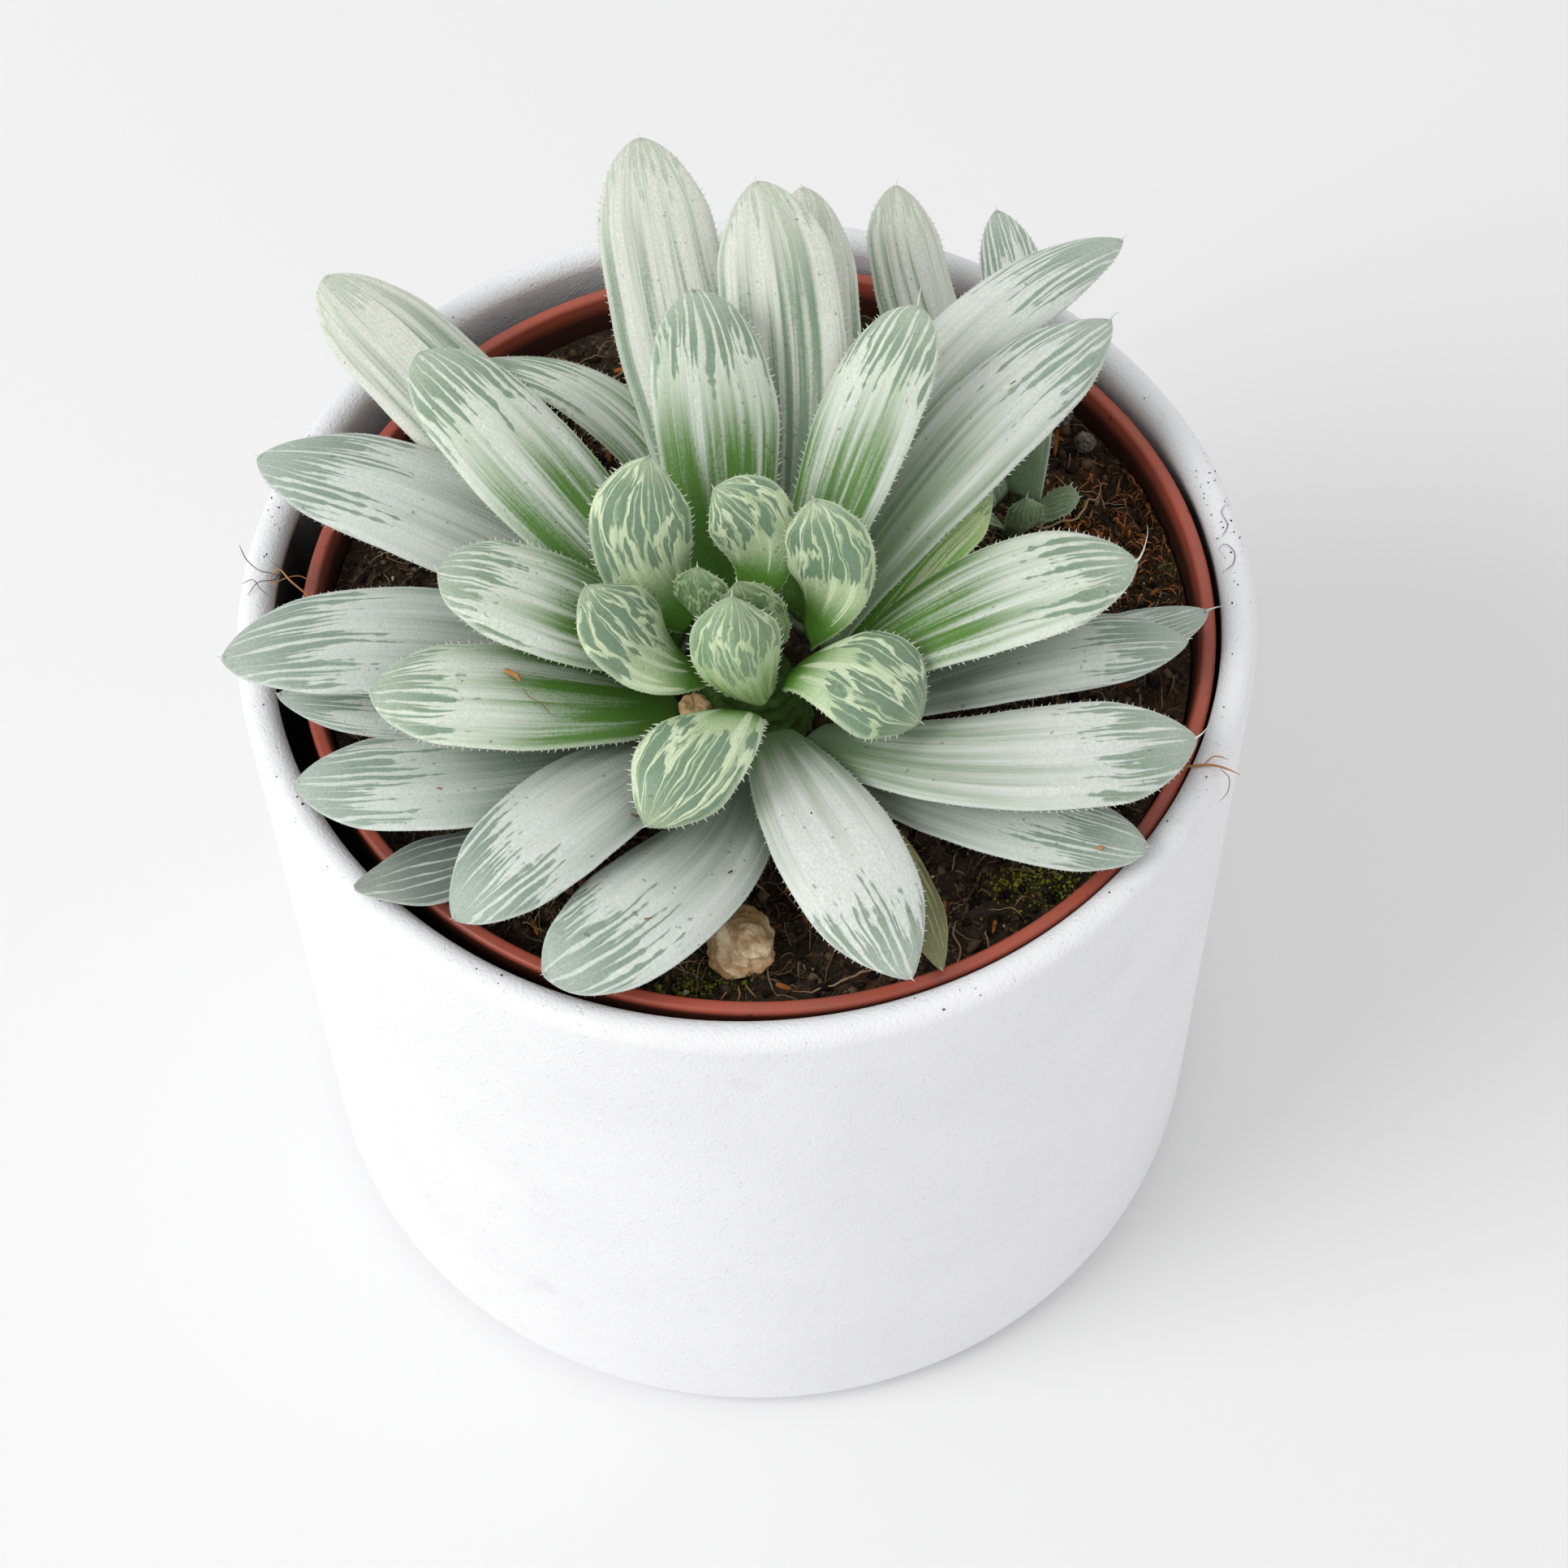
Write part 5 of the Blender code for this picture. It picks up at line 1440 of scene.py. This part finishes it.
class SUCCULENT_OT_stage(bpy.types.Operator):
    """Set the floor, the light and the camera"""
    bl_idname = "succulent.stage"
    bl_label = "Stage"

    def execute(self, context):
        scene = context.scene
        reach, level = 3.0, -0.2 * MM
        mesh = bpy.data.meshes.new("floor")
        mesh.from_pydata([
            (-reach, -reach, level), (reach, -reach, level), (reach, reach, level), (-reach, reach, level),
        ], [], [(0, 1, 2, 3)])
        mesh.materials.append(surface("floor").feed({
            "Base Color": tint(240, 240, 240), "Roughness": 0.7, "Specular IOR Level": 0.2}))
        floor = bpy.data.objects.new("floor", mesh)

        scene.world = bpy.data.worlds.new("studio")
        scene.world.use_nodes = True
        colour, strength = scene.world.node_tree.nodes["Background"].inputs[:2]
        colour.default_value = (1.0, 1.0, 1.0, 1.0)
        strength.default_value = 0.74

        # A round softbox to the left of and above the plant; its power is in watts.
        data = bpy.data.lights.new("softbox", "AREA")
        data.shape = "DISK"
        data.size = 0.8
        data.energy = 8.6
        softbox = bpy.data.objects.new("softbox", data)
        softbox.location = (-0.95, -0.42, 0.95)
        softbox.rotation_euler = (-softbox.location).to_track_quat("-Z", "Y").to_euler()

        data = bpy.data.cameras.new("camera")
        data.sensor_width = 36.0
        data.lens = 77.97
        data.clip_start = 0.01
        camera = bpy.data.objects.new("camera", data)
        camera.location = (0.0, -0.18537, 0.33634)
        camera.rotation_euler = Euler([math.radians(value) for value in (32.6948, 0.5536, -1.8561)])
        for made in (floor, softbox, camera):
            scene.collection.objects.link(made)
        scene.camera = camera
        scene.view_settings.view_transform = "Standard"
        return {"FINISHED"}


class SUCCULENT_PT_panel(bpy.types.Panel):
    """Sizes, colours and build buttons in the 3D view's sidebar"""
    bl_label = "Potted Succulent"
    bl_idname = "SUCCULENT_PT_panel"
    bl_space_type = "VIEW_3D"
    bl_region_type = "UI"
    bl_category = "Succulent"

    def draw(self, context):
        layout = self.layout
        for group in (context.scene.succulent_sizes, context.scene.succulent_colours):
            for name in group.bl_rna.properties.keys():
                if name not in ("rna_type", "name"):
                    layout.prop(group, name)
        for operator in OPERATORS:
            layout.operator(operator.bl_idname)


OPERATORS = (
    SUCCULENT_OT_cover_pot, SUCCULENT_OT_nursery_pot, SUCCULENT_OT_soil, SUCCULENT_OT_litter,
    SUCCULENT_OT_loose, SUCCULENT_OT_rosette, SUCCULENT_OT_offset, SUCCULENT_OT_dirt, SUCCULENT_OT_stage,
)
CLASSES = (SucculentSizes, SucculentColours, *OPERATORS, SUCCULENT_PT_panel)


def register():
    for each in CLASSES:
        bpy.utils.register_class(each)
    bpy.types.Scene.succulent_sizes = PointerProperty(type=SucculentSizes)
    bpy.types.Scene.succulent_colours = PointerProperty(type=SucculentColours)


def unregister():
    del bpy.types.Scene.succulent_colours
    del bpy.types.Scene.succulent_sizes
    for each in reversed(CLASSES):
        bpy.utils.unregister_class(each)


def main():
    """Build every piece and the stage."""
    register()
    for operator in OPERATORS:
        group, name = operator.bl_idname.split(".")
        getattr(getattr(bpy.ops, group), name)()


if __name__ == "__main__":
    main()
